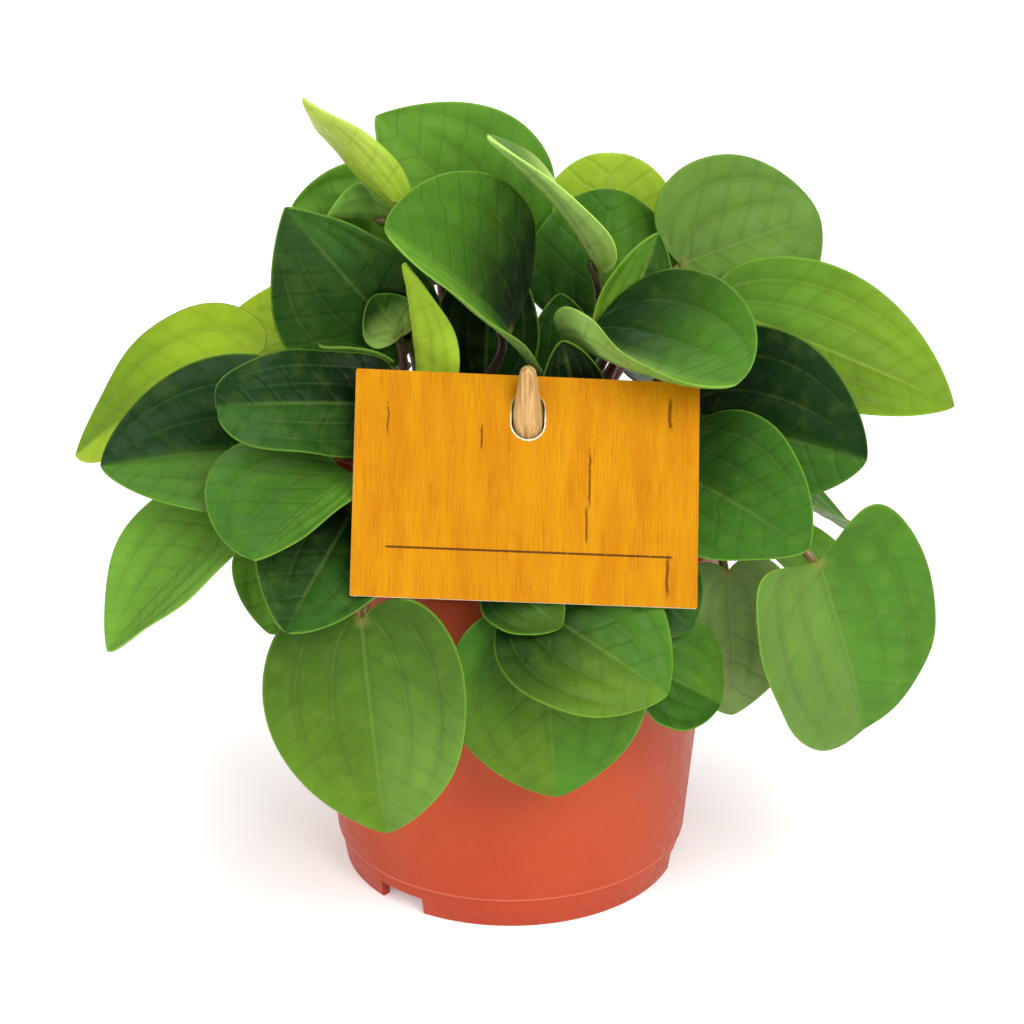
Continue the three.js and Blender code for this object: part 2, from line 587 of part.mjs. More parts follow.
function stemSolid(name) {
  const stem = STEMS[name];
  const stemRadius = (share) => STEM_RADIUS * (1 - STEM_TAPER * share);
  const stalkRadius = (share) => STALK_RADIUS + (STALK_END_RADIUS - STALK_RADIUS) * share;
  const parts = [solidOf(rod(stemCurve(stem, 0), stemRadius, STEM_STEPS, STEM_SIDES))];
  for (const leaf of LEAVES.filter(([, stemName]) => stemName === name)) {
    const curve = stalkCurve(leaf, bladeFrame(leaf));
    parts.push(solidOf(rod(curve, stalkRadius, STALK_STEPS, STALK_SIDES)));
  }
  return wasm.Manifold.union(parts);
}

// ---------------------------------------------------------------- the object

const materials = {
  pot: new THREE.MeshStandardMaterial({ name: "pot", color: 0xc8552f, roughness: 0.45 }),
  soil: new THREE.MeshStandardMaterial({ name: "soil", color: 0x2b1d14, roughness: 1 }),
  stem: new THREE.MeshStandardMaterial({ name: "stem", color: 0x6b3a24, roughness: 0.5 }),
  leaf: new THREE.MeshStandardMaterial({ name: "leaf", color: 0x3f7f2c, roughness: 0.4 }),
  wood: new THREE.MeshStandardMaterial({ name: "wood", color: 0xdcb984, roughness: 0.7 }),
  card: new THREE.MeshStandardMaterial({ name: "card", color: 0xf0a01c, roughness: 0.5 }),
};

const plant = new THREE.Group();
plant.name = "potted_peperomia";

function addPiece(name, geometry, material) {
  const mesh = new THREE.Mesh(geometry, material);
  mesh.name = name;
  plant.add(mesh);
}

addPiece("pot", geometryOf(potSolid()), materials.pot);
addPiece("soil", geometryOf(soilSolid()), materials.soil);
addPiece("label_pin", geometryOf(solidOf(pinShape(0))), materials.wood);
addPiece("label_card", geometryOf(cardSolid()), materials.card);
for (const name of Object.keys(STEMS)) {
  addPiece(`stem_${name}`, geometryOf(stemSolid(name)), materials.stem);
}
for (const leaf of LEAVES) {
  addPiece(`leaf_${leaf[0]}`, geometryOf(solidOf(bladeGeometry(bladeFrame(leaf)))), materials.leaf);
}

export default plant;
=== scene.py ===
"""Potted peperomia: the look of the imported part, built around its fixed frame.

Sizes are millimetres and angles degrees, and meshes are turned into metres when made.
Materials, lights and the camera work in metres. Colours are screen colours, 0 to 255.
"""

import math
import random

import bpy
import numpy as np
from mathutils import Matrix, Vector, noise


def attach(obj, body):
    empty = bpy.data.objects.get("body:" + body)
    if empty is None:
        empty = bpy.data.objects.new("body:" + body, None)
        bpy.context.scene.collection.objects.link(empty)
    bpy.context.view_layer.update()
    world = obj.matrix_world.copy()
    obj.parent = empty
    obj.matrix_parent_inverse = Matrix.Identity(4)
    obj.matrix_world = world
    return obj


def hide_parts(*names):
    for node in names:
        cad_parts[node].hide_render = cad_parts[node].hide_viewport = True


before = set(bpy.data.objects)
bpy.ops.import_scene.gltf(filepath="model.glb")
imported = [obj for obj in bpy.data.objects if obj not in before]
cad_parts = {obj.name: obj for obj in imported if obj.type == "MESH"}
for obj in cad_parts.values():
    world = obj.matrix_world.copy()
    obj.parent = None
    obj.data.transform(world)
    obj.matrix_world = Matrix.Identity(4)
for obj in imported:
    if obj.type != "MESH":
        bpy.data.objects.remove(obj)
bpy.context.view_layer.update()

MM = 0.001
TURN = 2 * math.pi
ANY_PHASE = (0, 6.3)
X, Y, Z = range(3)

# ----- sizes

POT_HEIGHT = 105
POT_RIM_RADIUS = 60
POT_WALL = 1.4
POT_BAND_HEIGHT = 17
POT_BAND_INSET = 2
POT_BODY_TOP_RADIUS = 56.5
POT_STEP_RADIUS = 49
POT_STEP_HEIGHT = 9.6
POT_FOOT_RADIUS = 46.8
POT_FLOOR_HEIGHT = 7
POT_SIDES = 160
NOTCH_COUNT = 3
NOTCH_WIDTH = 15
NOTCH_HEIGHT = 5.2
NOTCH_FIRST_ANGLE = 230
CUT_DEPTH = 20
DRAIN_HOLES = 6
DRAIN_HOLE_RADIUS = 4
DRAIN_HOLE_SIDES = 24
DRAIN_CIRCLE_RADIUS = 30

SOIL_TOP = 94
SOIL_CROWN = 3
SOIL_RINGS = 44
SOIL_SIDES = 132
SOIL_CRUMBS = 420
GAP = 0.3
FLOOR_HALF = 4000

CARD_WIDTH = 89
CARD_HEIGHT = 59
CARD_THICKNESS = 0.7
CARD_CORNER = 0.5
CARD_LEAN = 35
CARD_TURN = 7.5
CARD_ROLL = 5.5
CARD_HOLE_WIDTH = 8.6
CARD_HOLE_LENGTH = 12.4
CARD_HOLE_FROM_TOP = 10.5
CARD_HANGS_AT = (4.4, -44.7, 150.9)  # the middle of its hole

# Printed on the card, from the middle of its hole: each crack's middle, half-length and
# half-width, and the ruled line.
CRACKS = (
    (36.8, 1.7, 5.5, 0.75),
    (36.6, -40.5, 6.5, 0.65),
    (16.2, -16.0, 9.0, 0.5),
    (15.6, -28.0, 6.0, 0.45),
    (-11.8, -6.0, 4.0, 0.4),
    (-36.0, -2.0, 5.0, 0.3),
)
CRACK_BEND = 1.2
RULE_HEIGHT = -35.5
RULE_MIDDLE = 1.0
RULE_HALF = 37.4

PIN_LEAN = 10
PIN_LENGTH = 118
PIN_ABOVE_CARD = 15.1
PIN_END_RADIUS = 2
PIN_END_TAPER = 8
PIN_SIDES = 40
# Its rounded tip: radius, and distance from the very end.
PIN_TIP = (
    (0.02, 0), (0.8, 0.1), (1.35, 0.4), (2, 1.3), (2.4, 3.2), (2.8, 6.2), (3.2, 9.4), (3.8, 14),
)

BLADE_ROWS = 46
BLADE_COLUMNS = 31
BLADE_HALF_THICKNESS = 0.45
WAVES = 2
OUTLINE_SKEW = 0.82
LOBE_SPREAD = 1.6
LOBE_FADE = 3
GATHER_FADE = 1.5
VEINS = (0.36, 0.70)  # shares of the way from midrib to edge
VEIN_DEPTH = 0.6
VEIN_WIDTH = 2.2
MIDRIB_DEPTH = 0.65
MIDRIB_WIDTH = 2.0
QUILT_DEPTH = 0.10
QUILT_SPACING = 6.5
QUILT_SLANT = 0.18
SIDE_VEIN_SPACING = 7.5
SIDE_VEIN_SLANT = 0.75
SIDE_VEIN_WOBBLE = 4.0
SWELLS = 3
SWELL_HEIGHT = 0.22
EDGE_RIPPLE = 0.45
FULL_RELIEF_FROM = 22  # half-width of leaves with full swells and ripples

STALK_REACH = 3
STALK_DROP = 1.95
STALK_HANDLE = 14
STALK_SPREAD = 0.6
STALK_RISE = 0.5
STALK_BOW = 0.35
STALK_SINKS_AT = 1.5
STALK_SINK = 0.8
RIM_CLEARING = 2.2
RIM_TURN = 0.04
RIM_TURN_MOST = 0.5
LOWEST_STALK = 0.55
HIGHEST_STALK = 0.98
STALK_RADIUS = 1.6
STALK_END_RADIUS = 1.15
STALK_TIP_RADIUS = 0.7
STALK_STEPS = 22
STALK_SIDES = 10
STEM_RADIUS = 4.5
STEM_TAPER = 0.25
STEM_ROOT = 25
STEM_STEPS = 26
STEM_SIDES = 16

STEMS = {
    "left": ((-24, -14), (-26, -15, 124)),
    "right": ((24, -12), (27, -13, 124)),
    "back_left": ((-16, 20), (-17, 22, 134)),
    "back_right": ((20, 20), (22, 21, 132)),
    "front": ((-2, -22), (-2, -24, 116)),
}

# ----- stage, in metres

FLOOR_GLOW = 0.26
WORLD_LIGHT = 0.6
LIGHTS_AIM_AT = (0, 0, 0.12)
# Soft round lights: place, diameter and power.
LIGHTS = {
    "key": ((0.6, -1.3, 1.3), 1.2, 30),
    "fill": ((-1.2, -1, 0.9), 1.2, 8),
    "back": ((0, 1, 1.8), 1.4, 14),
}
LENS = 128.5  # and the sensor, in real millimetres
SENSOR = 36
CAMERA_AT = (0.00033, -0.9092, 0.5197)
CAMERA_LOOKS_AT = (0.00033, 0, 0.1034)

# ----- colours

COLOURS = {
    # Greens of the blades. The darkest stand for painted shade inside the plant and under other
    #     # leaves, the lightest (milky, cream) for painted light on sides that are lit or lit
    #     through.
    "ink": (12, 28, 10), "deep": (18, 50, 12), "dark": (34, 66, 20), "shade": (46, 86, 26),
    "green": (58, 104, 28), "mid": (70, 116, 30), "moss": (60, 92, 22), "olive": (84, 118, 28),
    "fresh": (84, 130, 36), "bright": (98, 144, 46), "sheen": (90, 126, 46),
    "grey": (118, 144, 78), "lime": (102, 134, 24), "pale": (154, 184, 36),
    "lemon": (172, 200, 44), "straw": (172, 190, 76), "milky": (186, 224, 116),
    "cream": (226, 255, 130),
    # What every blade has.
    "underside": (126, 164, 84), "leaf_shade": (8, 26, 6), "leaf_light": (190, 226, 96),
    "leaf_rim": (150, 196, 56), "leaf_joint": (138, 128, 62), "vein": (150, 180, 84),
    "pale_vein": (200, 216, 96),
    # Stems and stalks.
    "dark_red": (96, 38, 26), "red": (132, 62, 38), "stalk_green": (112, 112, 48),
    "light_stalk_green": (134, 140, 60), "fleck": (168, 108, 74), "stem_painted_shade": (34, 16, 12),
    # Pot and soil.
    "clay": (172, 64, 25), "light_clay": (181, 74, 31), "clay_painted_shade": (168, 50, 24),
    "clay_dust": (226, 140, 108), "clay_seam": (232, 130, 96), "peat": (24, 16, 12),
    "light_peat": (66, 44, 30), "fibre": (116, 84, 56),
    # Pin and card.
    "wood": (149, 105, 47), "light_wood": (203, 164, 106), "wood_streak": (150, 104, 56),
    "print": (178, 110, 1), "light_print": (190, 128, 3), "grain": (148, 80, 1),
    "light_grain": (202, 146, 12), "pore": (146, 80, 6), "crack": (66, 34, 8),
    "rule": (62, 32, 12), "bare_paper": (226, 218, 198), "paper": (240, 236, 226),
    # Floor.
    "floor": (243, 243, 243), "light_floor": (246, 246, 246),
}

# ----- leaves

# Name, stem, height of the stalk's start, base, tip and facing; width, curl, fold, cup, lobe,
# # point and unevenness; then the tones at the base and at the tip, first of the half left of the
# # midrib and then of the half right of it, looking from base to tip. Fewer than four repeat.
# # The tones hold painted shade and painted light: a half is darker where it lies inside the plant
# # or under other leaves, and lighter where light falls on it or through it.
LEAVES = [
    ("left_pale_outer", "left", 0.5, (-68, 2, 148.6), (-119, 5, 118), (-0.3, -0.3, 1),
     53, 25, 0, 20, 0.5, 0.75, 0.04, "pale pale pale lime"),
    ("left_pale_inner", "back_left", 0.4, (-48, 26, 138), (-81, 58, 137), (-0.2, -0.6, 1),
     44, 20, 5, 20, 0.5, 0.7, 0, "pale"),
    ("left_folded", "left", 0.35, (-50, -22, 131.8), (-107, -38, 134), (0, -0.75, 1),
     54, 18, 18, 8, 0.5, 0.7, -0.03, "bright mid deep deep"),
    ("left_wavy", "left", 0.6, (-31, -33, 149.3), (-75, -54, 157.8), (-0.2, -0.9, 0.7),
     29.5, 15, 0, 6, 0.4, 0.35, 0, "deep shade ink deep"),
    ("left_front", "left", 0.3, (-40, -47, 135.5), (-65.5, -80, 127), (-0.25, -0.45, 1),
     39, 20, 0, 10, 0.4, 0.5, 0.56, "fresh mid mid green"),
    ("left_long_droop", "left", 0.2, (-68, -42, 124.6), (-105, -60, 91), (-0.6, -0.4, 0.75),
     44, 18, 14, 5, 0.4, 0.85, 0.04, "bright"),
    ("left_low_behind", "left", 0.1, (-54, -42, 116), (-63, -54, 93), (-0.4, -1, 0.5),
     32, 15, 0, 15, 0.3, 0.7, 0, "bright fresh bright bright"),
    ("front_left_dark", "left", 0.15, (-40.5, -47, 126), (-56.9, -83, 108), (0.1, -0.8, 0.9),
     39, 15, 5, 15, 0.3, 0.7, 0, "deep shade ink dark"),
    ("front_left_hanging", "left", 0.1, (-38, -73, 107), (-32, -85, 51), (-0.25, -1, 0.35),
     55, 15, 0, 18, 0.7, 0.7, 0, "moss sheen moss olive"),
    ("front_centre_hanging", "right", 0.5, (8, -65, 103), (12, -73, 55), (0, -1, 0.35),
     53, 15, 0, 18, 0.6, 0.7, 0, "olive mid green olive"),
    ("front_centre_curled", "front", 0.4, (-4, -62, 113), (13, -74, 105), (0, -1, 0.8),
     22, 30, 0, 20, 0.3, 0.7, 0, "dark moss deep moss"),
    ("front_right_round", "front", 0.15, (3, -64, 108), (40, -81, 89), (0.15, -1, 0.9),
     46, 20, 0, 20, 0.4, 0.7, 0, "deep mid deep olive"),
    ("front_right_folded", "right", 0.8, (34.3, -61, 88.3), (55, -59.3, 75), (0.1, -0.7, 0.7),
     32, 10, 15, 10, 0.25, 0.7, 0, "green fresh shade green"),
    ("right_grey_hanging", "right", 0.8, (57, -43, 106), (59, -48, 66), (0.3, -1, 0.3),
     36, 15, 5, 15, 0.7, 0.7, 0, "grey"),
    ("right_big_hanging", "right", 0.65, (79, -60, 117), (94, -50, 62.8), (0.6, -1, 0.2),
     56.5, 15, 5, 12, 0.9, 0.4, 0, "mid mid sheen sheen"),
    ("right_front", "right", 0.3, (39.3, -23.9, 128.6), (76.2, -62.9, 121.6), (0.1, -1, 0.75),
     45, 22, 8, 12, 0.25, 0.7, -0.03, "dark green green green"),
    ("right_dark", "right", 0.45, (48, -14.5, 139), (93.5, -32, 133), (0.1, -1, 0.35),
     47, 15, 5, 10, 0.6, 0.65, -0.2, "ink deep deep green"),
    ("right_pale_outer", "right", 0.6, (56, 5, 161), (118, -14, 140.6), (0.3, -1, 0.7),
     40, 25, 5, 12, 0.5, 0.8, -0.08, "fresh lime olive lime"),
    ("right_round_upright", "back_right", 0.7, (46, 20, 168), (84, 30, 179), (0.1, -0.9, 0.6),
     50, 15, 5, 15, 0.6, 0.6, 0, "sheen"),
    ("front_right_boat", "right", 0.7, (18.5, -15, 160.2), (57.5, -50, 162), (0.1, -0.15, 1),
     59, -20, 10, 38, 0.45, 0.45, -0.12, "deep mid milky bright"),
    ("back_pale_round", "back_right", 0.85, (27, 44, 152), (28, 58, 187), (0, 1, -0.3),
     42, 20, 0, 20, 0.3, 0.45, 0, "pale"),
    ("back_dark_round", "back_right", 0.5, (23, 30, 147), (28, 36, 184), (0, -1, 0.5),
     43, 15, 0, 20, 0.2, 0.5, 0, "dark green fresh mid"),
    ("centre_young_streaked", "back_right", 1.0, (26, 0, 149), (39.5, 7, 182), (0.2, -1, 0.2),
     23, 10, 20, 15, 0.3, 0.8, 0, "lime fresh deep shade"),
    ("centre_narrow_edge", "back_right", 0.9, (24, 3, 173), (-6, -18, 218), (0.77, 0.27, 0.58),
     34, 15, 12, 10, 0.1, 0.9, 0, "cream milky cream fresh"),
    ("top_large", "back_left", 0.9, (-2, 27.4, 167.3), (-36, 20, 210.3), (0.2, -0.75, 0.7),
     50, 25, 5, 15, 0.75, 0.85, 0.13, "fresh bright mid fresh"),
    ("centre_glossy", "left", 0.9, (0, -13, 160.5), (-32, -40, 200.5), (0.3, -0.6, 1),
     59, 25, 20, 20, 0.25, 0.55, 0.03, "shade bright ink mid"),
    ("front_small_behind_pin", "front", 0.6, (17.5, -27.5, 146), (13.3, -37.5, 168.8), (0, -1, 0.5),
     17, 15, 5, 15, 0.4, 0.7, 0, "deep ink ink ink"),
    ("centre_yellow_narrow", "left", 0.8, (-23, -29, 149), (-27, -31, 188), (0.9, 0.5, 0.2),
     26, 10, 20, 15, 0.3, 0.9, 0, "lemon pale lemon lemon"),
    ("left_dark_upright", "left", 0.7, (-26.7, -8.6, 155.8), (-58.2, -20, 199), (-0.3, -1, 0.4),
     43, 15, 5, 15, 0.5, 0.9, -0.16, "shade dark ink shade"),
    ("left_small_grey", "left", 0.75, (-29, -14.3, 160.6), (-36, -18, 173.6), (-0.1, -1, 0.7),
     17, 15, 0, 20, 0.3, 0.7, 0, "milky dark milky shade"),
    ("left_small_edge", "left", 0.65, (-31.5, -21.5, 157.2), (-50, -26, 163.4), (0, 0.3, 1),
     10, 15, 5, 20, 0.4, 0.7, 0, "fresh dark dark dark"),
    ("top_left_pale_pointed", "back_left", 1.0, (-27, -10, 194), (-53, -18, 228), (0.5, 0.7, 0.3),
     23, 10, 10, 15, 0.3, 1.1, 0.3, "pale straw"),
    ("top_left_dark", "back_left", 0.8, (-30, 14, 175.5), (-58, 3, 190.5), (-0.1, -0.8, 0.8),
     38, 20, 5, 20, 0.5, 0.7, 0, "bright fresh"),
    ("top_left_rolled", "back_left", 0.95, (-32, 2, 188), (-48, -6, 192), (0.2, 0.8, 0.3),
     18, 10, 30, 40, 0.2, 0.7, 0, "fresh fresh pale lime"),
    ("front_right_tucked", "right", 0.6, (35, -54, 108), (47, -59, 97), (0.1, -1, 0.6),
     24, 15, 0, 15, 0.3, 0.7, 0, "deep shade"),
    ("back_left_low", "back_left", 0.2, (-42, 50, 118), (-76, 86, 80), (-0.5, 0.6, 0.9),
     56, 25, 5, 15, 0.6, 0.7, 0, "green fresh mid fresh"),
    ("back_low", "back_left", 0.3, (-2, 66, 112), (2, 90, 56), (0, 1, 0.4),
     56, 20, 5, 15, 0.7, 0.7, 0, "mid bright green fresh"),
    ("back_right_low", "back_right", 0.2, (44, 54, 116), (82, 82, 78), (0.5, 0.6, 0.9),
     56, 25, 5, 15, 0.6, 0.7, 0, "green mid mid fresh"),
    ("back_left_middle", "back_left", 0.6, (-28, 50, 134), (-68, 86, 118), (-0.3, 0.6, 1),
     54, 25, 5, 15, 0.6, 0.7, 0, "green mid green fresh"),
    ("back_middle", "back_left", 0.7, (8, 52, 132), (10, 90, 104), (0, 0.8, 1),
     54, 25, 5, 15, 0.6, 0.7, 0, "mid fresh shade mid"),
    ("back_right_middle", "back_right", 0.6, (42, 40, 142), (86, 70, 128), (0.4, 0.5, 1),
     52, 25, 5, 15, 0.6, 0.7, 0, "fresh fresh green mid"),
    ("back_top_left", "back_left", 0.9, (-24, 34, 172), (-64, 52, 164), (-0.2, 0.5, 1),
     50, 25, 5, 15, 0.5, 0.7, 0, "mid fresh green mid"),
    ("back_top", "back_left", 0.95, (-10, 38, 178), (-16, 76, 168), (0, 0.6, 1),
     46, 25, 5, 15, 0.5, 0.7, 0, "green mid fresh fresh"),
    ("back_right_upper", "back_right", 0.8, (48, 36, 154), (88, 48, 150), (0.2, 0.3, 1),
     38, 25, 5, 15, 0.5, 0.7, 0, "shade green green mid"),
    ("side_left_low", "back_left", 0.1, (-62, 10, 118), (-102, 30, 84), (-0.7, 0.3, 0.8),
     52, 25, 5, 15, 0.6, 0.7, 0, "green mid fresh fresh"),
    ("side_right_low", "back_right", 0.1, (64, 14, 108), (102, 30, 78), (0.6, 0.2, 0.8),
     50, 25, 5, 15, 0.6, 0.7, 0, "shade mid mid mid"),
    ("back_top_right", "back_right", 0.95, (28, 58, 152), (50, 88, 136), (0.1, 0.7, 1),
     42, 25, 5, 15, 0.5, 0.7, 0, "mid fresh mid bright"),
    ("inner_left_dark", "back_left", 0.95, (-7, 6.5, 138), (-5, 2.5, 182), (-0.05, -1, 0.2),
     28.5, 20, 0, 15, 0.3, 0.7, 0, "ink deep deep ink"),
    ("back_centre", "back_left", 0.8, (-12, 46, 152), (-20, 82, 140), (-0.1, 0.7, 1),
     44, 25, 5, 15, 0.5, 0.7, 0, "shade mid green fresh"),
    ("side_right_front", "right", 0.5, (71, -22, 105), (98, -29, 77), (0.7, -0.2, 0.8),
     34, 25, 5, 15, 0.5, 0.7, 0, "fresh fresh bright fresh"),
    ("inner_right_dark", "back_right", 0.7, (14, 8.5, 138), (13.3, 3.5, 166), (0.1, -1, 0.3),
     19.5, 20, 0, 15, 0.3, 0.7, 0, "dark"),
]

# Leaves with one half that curls up more near its base, in degrees, and with a wavy edge.
GATHERED = {"front_right_boat": 100}
WAVY = {"left_wavy": 1.6}

# Leaves painted pale: partly their own lighter green, partly painted light shining through them.
PALE_BACKLIT_LEAVES = (
    "left_pale_outer", "left_pale_inner", "right_pale_outer", "back_pale_round",
    "top_left_pale_pointed", "centre_yellow_narrow", "centre_young_streaked",
)

# ----- small helpers


def unit(vector):
    return vector / np.linalg.norm(vector)


def polar(radius, angle):
    return radius * math.cos(angle), radius * math.sin(angle)


def linear(name):
    """A named screen colour as the linear colour that a shader takes."""
    shares = np.array(COLOURS[name]) / 255
    return np.where(shares <= 0.04045, shares / 12.92, ((shares + 0.055) / 1.055) ** 2.4)


def smooth_step(low, high, value):
    share = np.clip((value - low) / (high - low), 0, 1)
    return share * share * (3 - 2 * share)


def new_object(name, data):
    thing = bpy.data.objects.new(name, data)
    bpy.context.collection.objects.link(thing)
    return thing


def make_piece(name, points, faces, material, smooth=True):
    """A mesh object in metres from points in millimetres."""
    mesh = bpy.data.meshes.new(name)
    mesh.from_pydata((np.asarray(points) * MM).tolist(), [], faces)
    mesh.validate()
    mesh.update()
    mesh.polygons.foreach_set("use_smooth", [smooth] * len(mesh.polygons))
    mesh.materials.append(material)
    return new_object(name, mesh)


def add(points, faces, more_points, more_faces):
    """Appends one body to the points and faces of others."""
    start = len(points)
    points += more_points
    faces += [[start + corner for corner in face] for face in more_faces]


def dress(piece, node):
    """Lets a piece ride with the part and stand for one CAD node."""
    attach(piece, "root")
    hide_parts(node)


def store(piece, name, *columns):
    """Writes three numbers for each point of a mesh, which its material reads."""
    attribute = piece.data.attributes.new(name, "FLOAT_VECTOR", "POINT")
    attribute.data.foreach_set("vector", np.column_stack(columns).astype(np.float32).ravel())


def sharpen(piece, degrees):
    """Sharp edges where faces meet at more than this angle, smooth elsewhere."""
    piece.data.set_sharp_from_angle(angle=math.radians(degrees))


# ----- shader helpers


class Shader:
    """Builds the node tree of one material."""

    def __init__(self, name, roughness):
        self.material = bpy.data.materials.new(name)
        self.material.use_nodes = True
        self.tree = self.material.node_tree
        self.tree.nodes.clear()
        self.skin = self.node("BsdfPrincipled", {"Roughness": roughness})
        self.node("OutputMaterial", {"Surface": self.skin.outputs["BSDF"]})

    def node(self, kind, inputs, **settings):
        """A new node with its settings, and its inputs by name or by number."""
        node = self.tree.nodes.new("ShaderNode" + kind)
        for name, value in settings.items():
            setattr(node, name, value)
        for name, value in inputs.items():
            self.give(node.inputs[name], value)
        return node

    def give(self, socket, value):
        """Links an output to the socket, or sets it to a number or a named colour."""
        if isinstance(value, bpy.types.NodeSocket):
            self.tree.links.new(value, socket)
        elif isinstance(value, str):
            socket.default_value = (*linear(value), 1)
        else:
            socket.default_value = value

    def set(self, **values):
        """Gives values to the skin's sockets, with _ for the spaces in their names."""
        for name, value in values.items():
            self.give(self.skin.inputs[name.replace("_", " ")], value)

    def attribute(self, name, output="Vector"):
        return self.node("Attribute", {}, attribute_name=name).outputs[output]

    def place(self):
        """The place on the piece, in metres."""
        return self.node("TexCoord", {}).outputs["Object"]

    def split(self, vector):
        return tuple(self.node("SeparateXYZ", {0: vector}).outputs)

    def math(self, operation, *values):
        return self.node("Math", dict(enumerate(values)), operation=operation).outputs[0]

    def plus(self, first, second):
        return self.math("ADD", first, second)

    def minus(self, first, second):
        return self.math("SUBTRACT", first, second)

    def times(self, first, second):
        return self.math("MULTIPLY", first, second)

    def highest(self, first, second):
        return self.math("MAXIMUM", first, second)

    def unsigned(self, value):
        return self.math("ABSOLUTE", value)

    def apart(self, first, second):
        return self.unsigned(self.minus(first, second))

    def slant(self, x, y):
        """The distance that goes x one way and y across it."""
        return self.math("SQRT", self.plus(self.times(x, x), self.times(y, y)))

    def scaled(self, vector, scale):
        return self.node("VectorMath", {0: vector, 1: scale}, operation="MULTIPLY").outputs[0]

    def ramp(self, value, low, high, start=0.0, end=1.0):
        """Runs smoothly from start to end as the value goes from low to high."""
        inputs = {"Value": value, "From Min": low, "From Max": high, "To Min": start, "To Max": end}
        return self.node("MapRange", inputs, interpolation_type="SMOOTHSTEP").outputs["Result"]

    def noise(self, vector, scale, detail=3.0, roughness=0.5):
        inputs = {"Vector": vector, "Scale": scale, "Detail": detail, "Roughness": roughness}
        return self.node("TexNoise", inputs).outputs["Fac"]

    def over(self, share, colour):
        """Lays a share of a colour over the colour so far."""
        self.colour = self.mix(share, self.colour, colour)

    def mix(self, share, first, second):
        """A share of the second colour over the first."""
        return self.node("Mix", {0: share, 6: first, 7: second}, data_type="RGBA").outputs[2]

    def bump(self, height, distance, strength):
        inputs = {"Height": height, "Distance": distance, "Strength": strength}
        self.set(Normal=self.node("Bump", inputs).outputs["Normal"])

    def finish(self, **values):
        """Gives the skin the colour so far and other values."""
        self.set(Base_Color=self.colour, **values)
        return self.material


# ----- leaf surface


def side_veins(s, place, length, far):
    """Soft creases that leave the midrib and run on towards the edge: 1 there, 0 between."""
    wobble = s.times(s.noise(place, 120, 2), SIDE_VEIN_WOBBLE)
    ladder = s.plus(s.minus(length, s.times(far, SIDE_VEIN_SLANT)), wobble)
    steps = s.math("FRACT", s.math("DIVIDE", ladder, SIDE_VEIN_SPACING))
    return s.ramp(s.apart(steps, 0.5), 0.0, 0.16, 1, 0)


def arching_veins(s, off, half):
    """Soft furrows along the arching veins, and the thin lines in them: 1 there, 0 between."""
    gaps = [s.times(s.apart(off, place), half) for place in VEINS]
    furrows = s.highest(*(s.ramp(gap, 0.2, 2.0, 1, 0) for gap in gaps))
    lines = s.highest(*(s.ramp(gap, 0.1, 0.5, 1, 0) for gap in gaps))
    return furrows, lines


def leaf_material(name, roughness, vein_colour, vein_share):
    """Mottled green, quilted by its veins with painted shade in their furrows, and a thin bright
    rim.
    """
    s = Shader(name, roughness)
    tone = s.attribute("tone", "Color")
    along, across, half = s.split(s.attribute("blade"))
    reach, length, _ = s.split(s.attribute("span"))
    place = s.place()
    off, far = s.unsigned(across), s.unsigned(reach)
    # A darker green for the mottling, and for painted shade in the vein furrows and creases.
    darker_mottle_and_shade = s.mix(0.5, tone, "leaf_shade")
    lighter = s.mix(0.06, tone, "leaf_light")
    brighter = s.mix(0.5, tone, "leaf_rim")

    clouds = s.noise(place, 60, 3)
    patches = s.noise(place, 190, 2)
    grain = s.noise(place, 1500, 2)
    s.colour = s.mix(s.ramp(clouds, 0.35, 0.7, 0, 0.28), tone, darker_mottle_and_shade)
    s.over(s.ramp(patches, 0.45, 0.75, 0, 0.5), lighter)
    s.over(s.ramp(grain, 0.55, 0.8, 0, 0.3), lighter)

    rungs = side_veins(s, place, length, far)
    # Painted shade in the side-vein creases.
    s.over(s.times(rungs, 0.15), darker_mottle_and_shade)
    furrows, veins = arching_veins(s, off, half)
    fade = s.times(s.ramp(along, 0.0, 0.06), s.ramp(along, 0.95, 0.6))
    furrows = s.times(furrows, fade)
    veins = s.times(veins, s.times(fade, s.ramp(patches, 0.3, 0.6, 0.35, 1.0)))
    # Painted shade in the furrows of the arching veins; then the lighter vein lines.
    s.over(s.times(furrows, 0.26), darker_mottle_and_shade)
    s.over(s.times(veins, vein_share), vein_colour)
    midrib = s.times(s.ramp(far, 0.2, 0.8, 1, 0), s.ramp(along, 1.0, 0.6))
    trough = s.times(s.ramp(far, 0.4, 2.6, 1, 0), s.ramp(along, 1.0, 0.7))
    # Painted shade in the groove along the midrib; then the lighter midrib.
    s.over(s.times(trough, 0.22), darker_mottle_and_shade)
    s.over(s.times(midrib, vein_share * 2), vein_colour)

    rim = s.ramp(s.times(s.minus(1.0, off), half), 0.1, 0.7, 1, 0)
    s.over(s.times(rim, 0.5), brighter)
    joint = s.times(s.ramp(length, 3.5, 1.0, 0, 0.4), s.ramp(far, 3, 1))
    s.over(joint, "leaf_joint")

    relief = s.times(s.highest(veins, midrib), -0.25)
    heights = ((furrows, -0.4), (rungs, -0.3), (grain, 0.03), (patches, 0.5), (clouds, 0.6))
    for part, height in heights:
        relief = s.plus(relief, s.times(part, height))
    s.bump(relief, distance=0.8 * MM, strength=0.6)
    s.set(Roughness=s.ramp(patches, 0.3, 0.7, roughness - 0.05, roughness + 0.1))
    s.set(Subsurface_Weight=0.10, Subsurface_Radius=(0.6, 1.0, 0.2), Subsurface_Scale=1 * MM)
    return s.finish(Specular_IOR_Level=0.09)


# ----- leaf shape


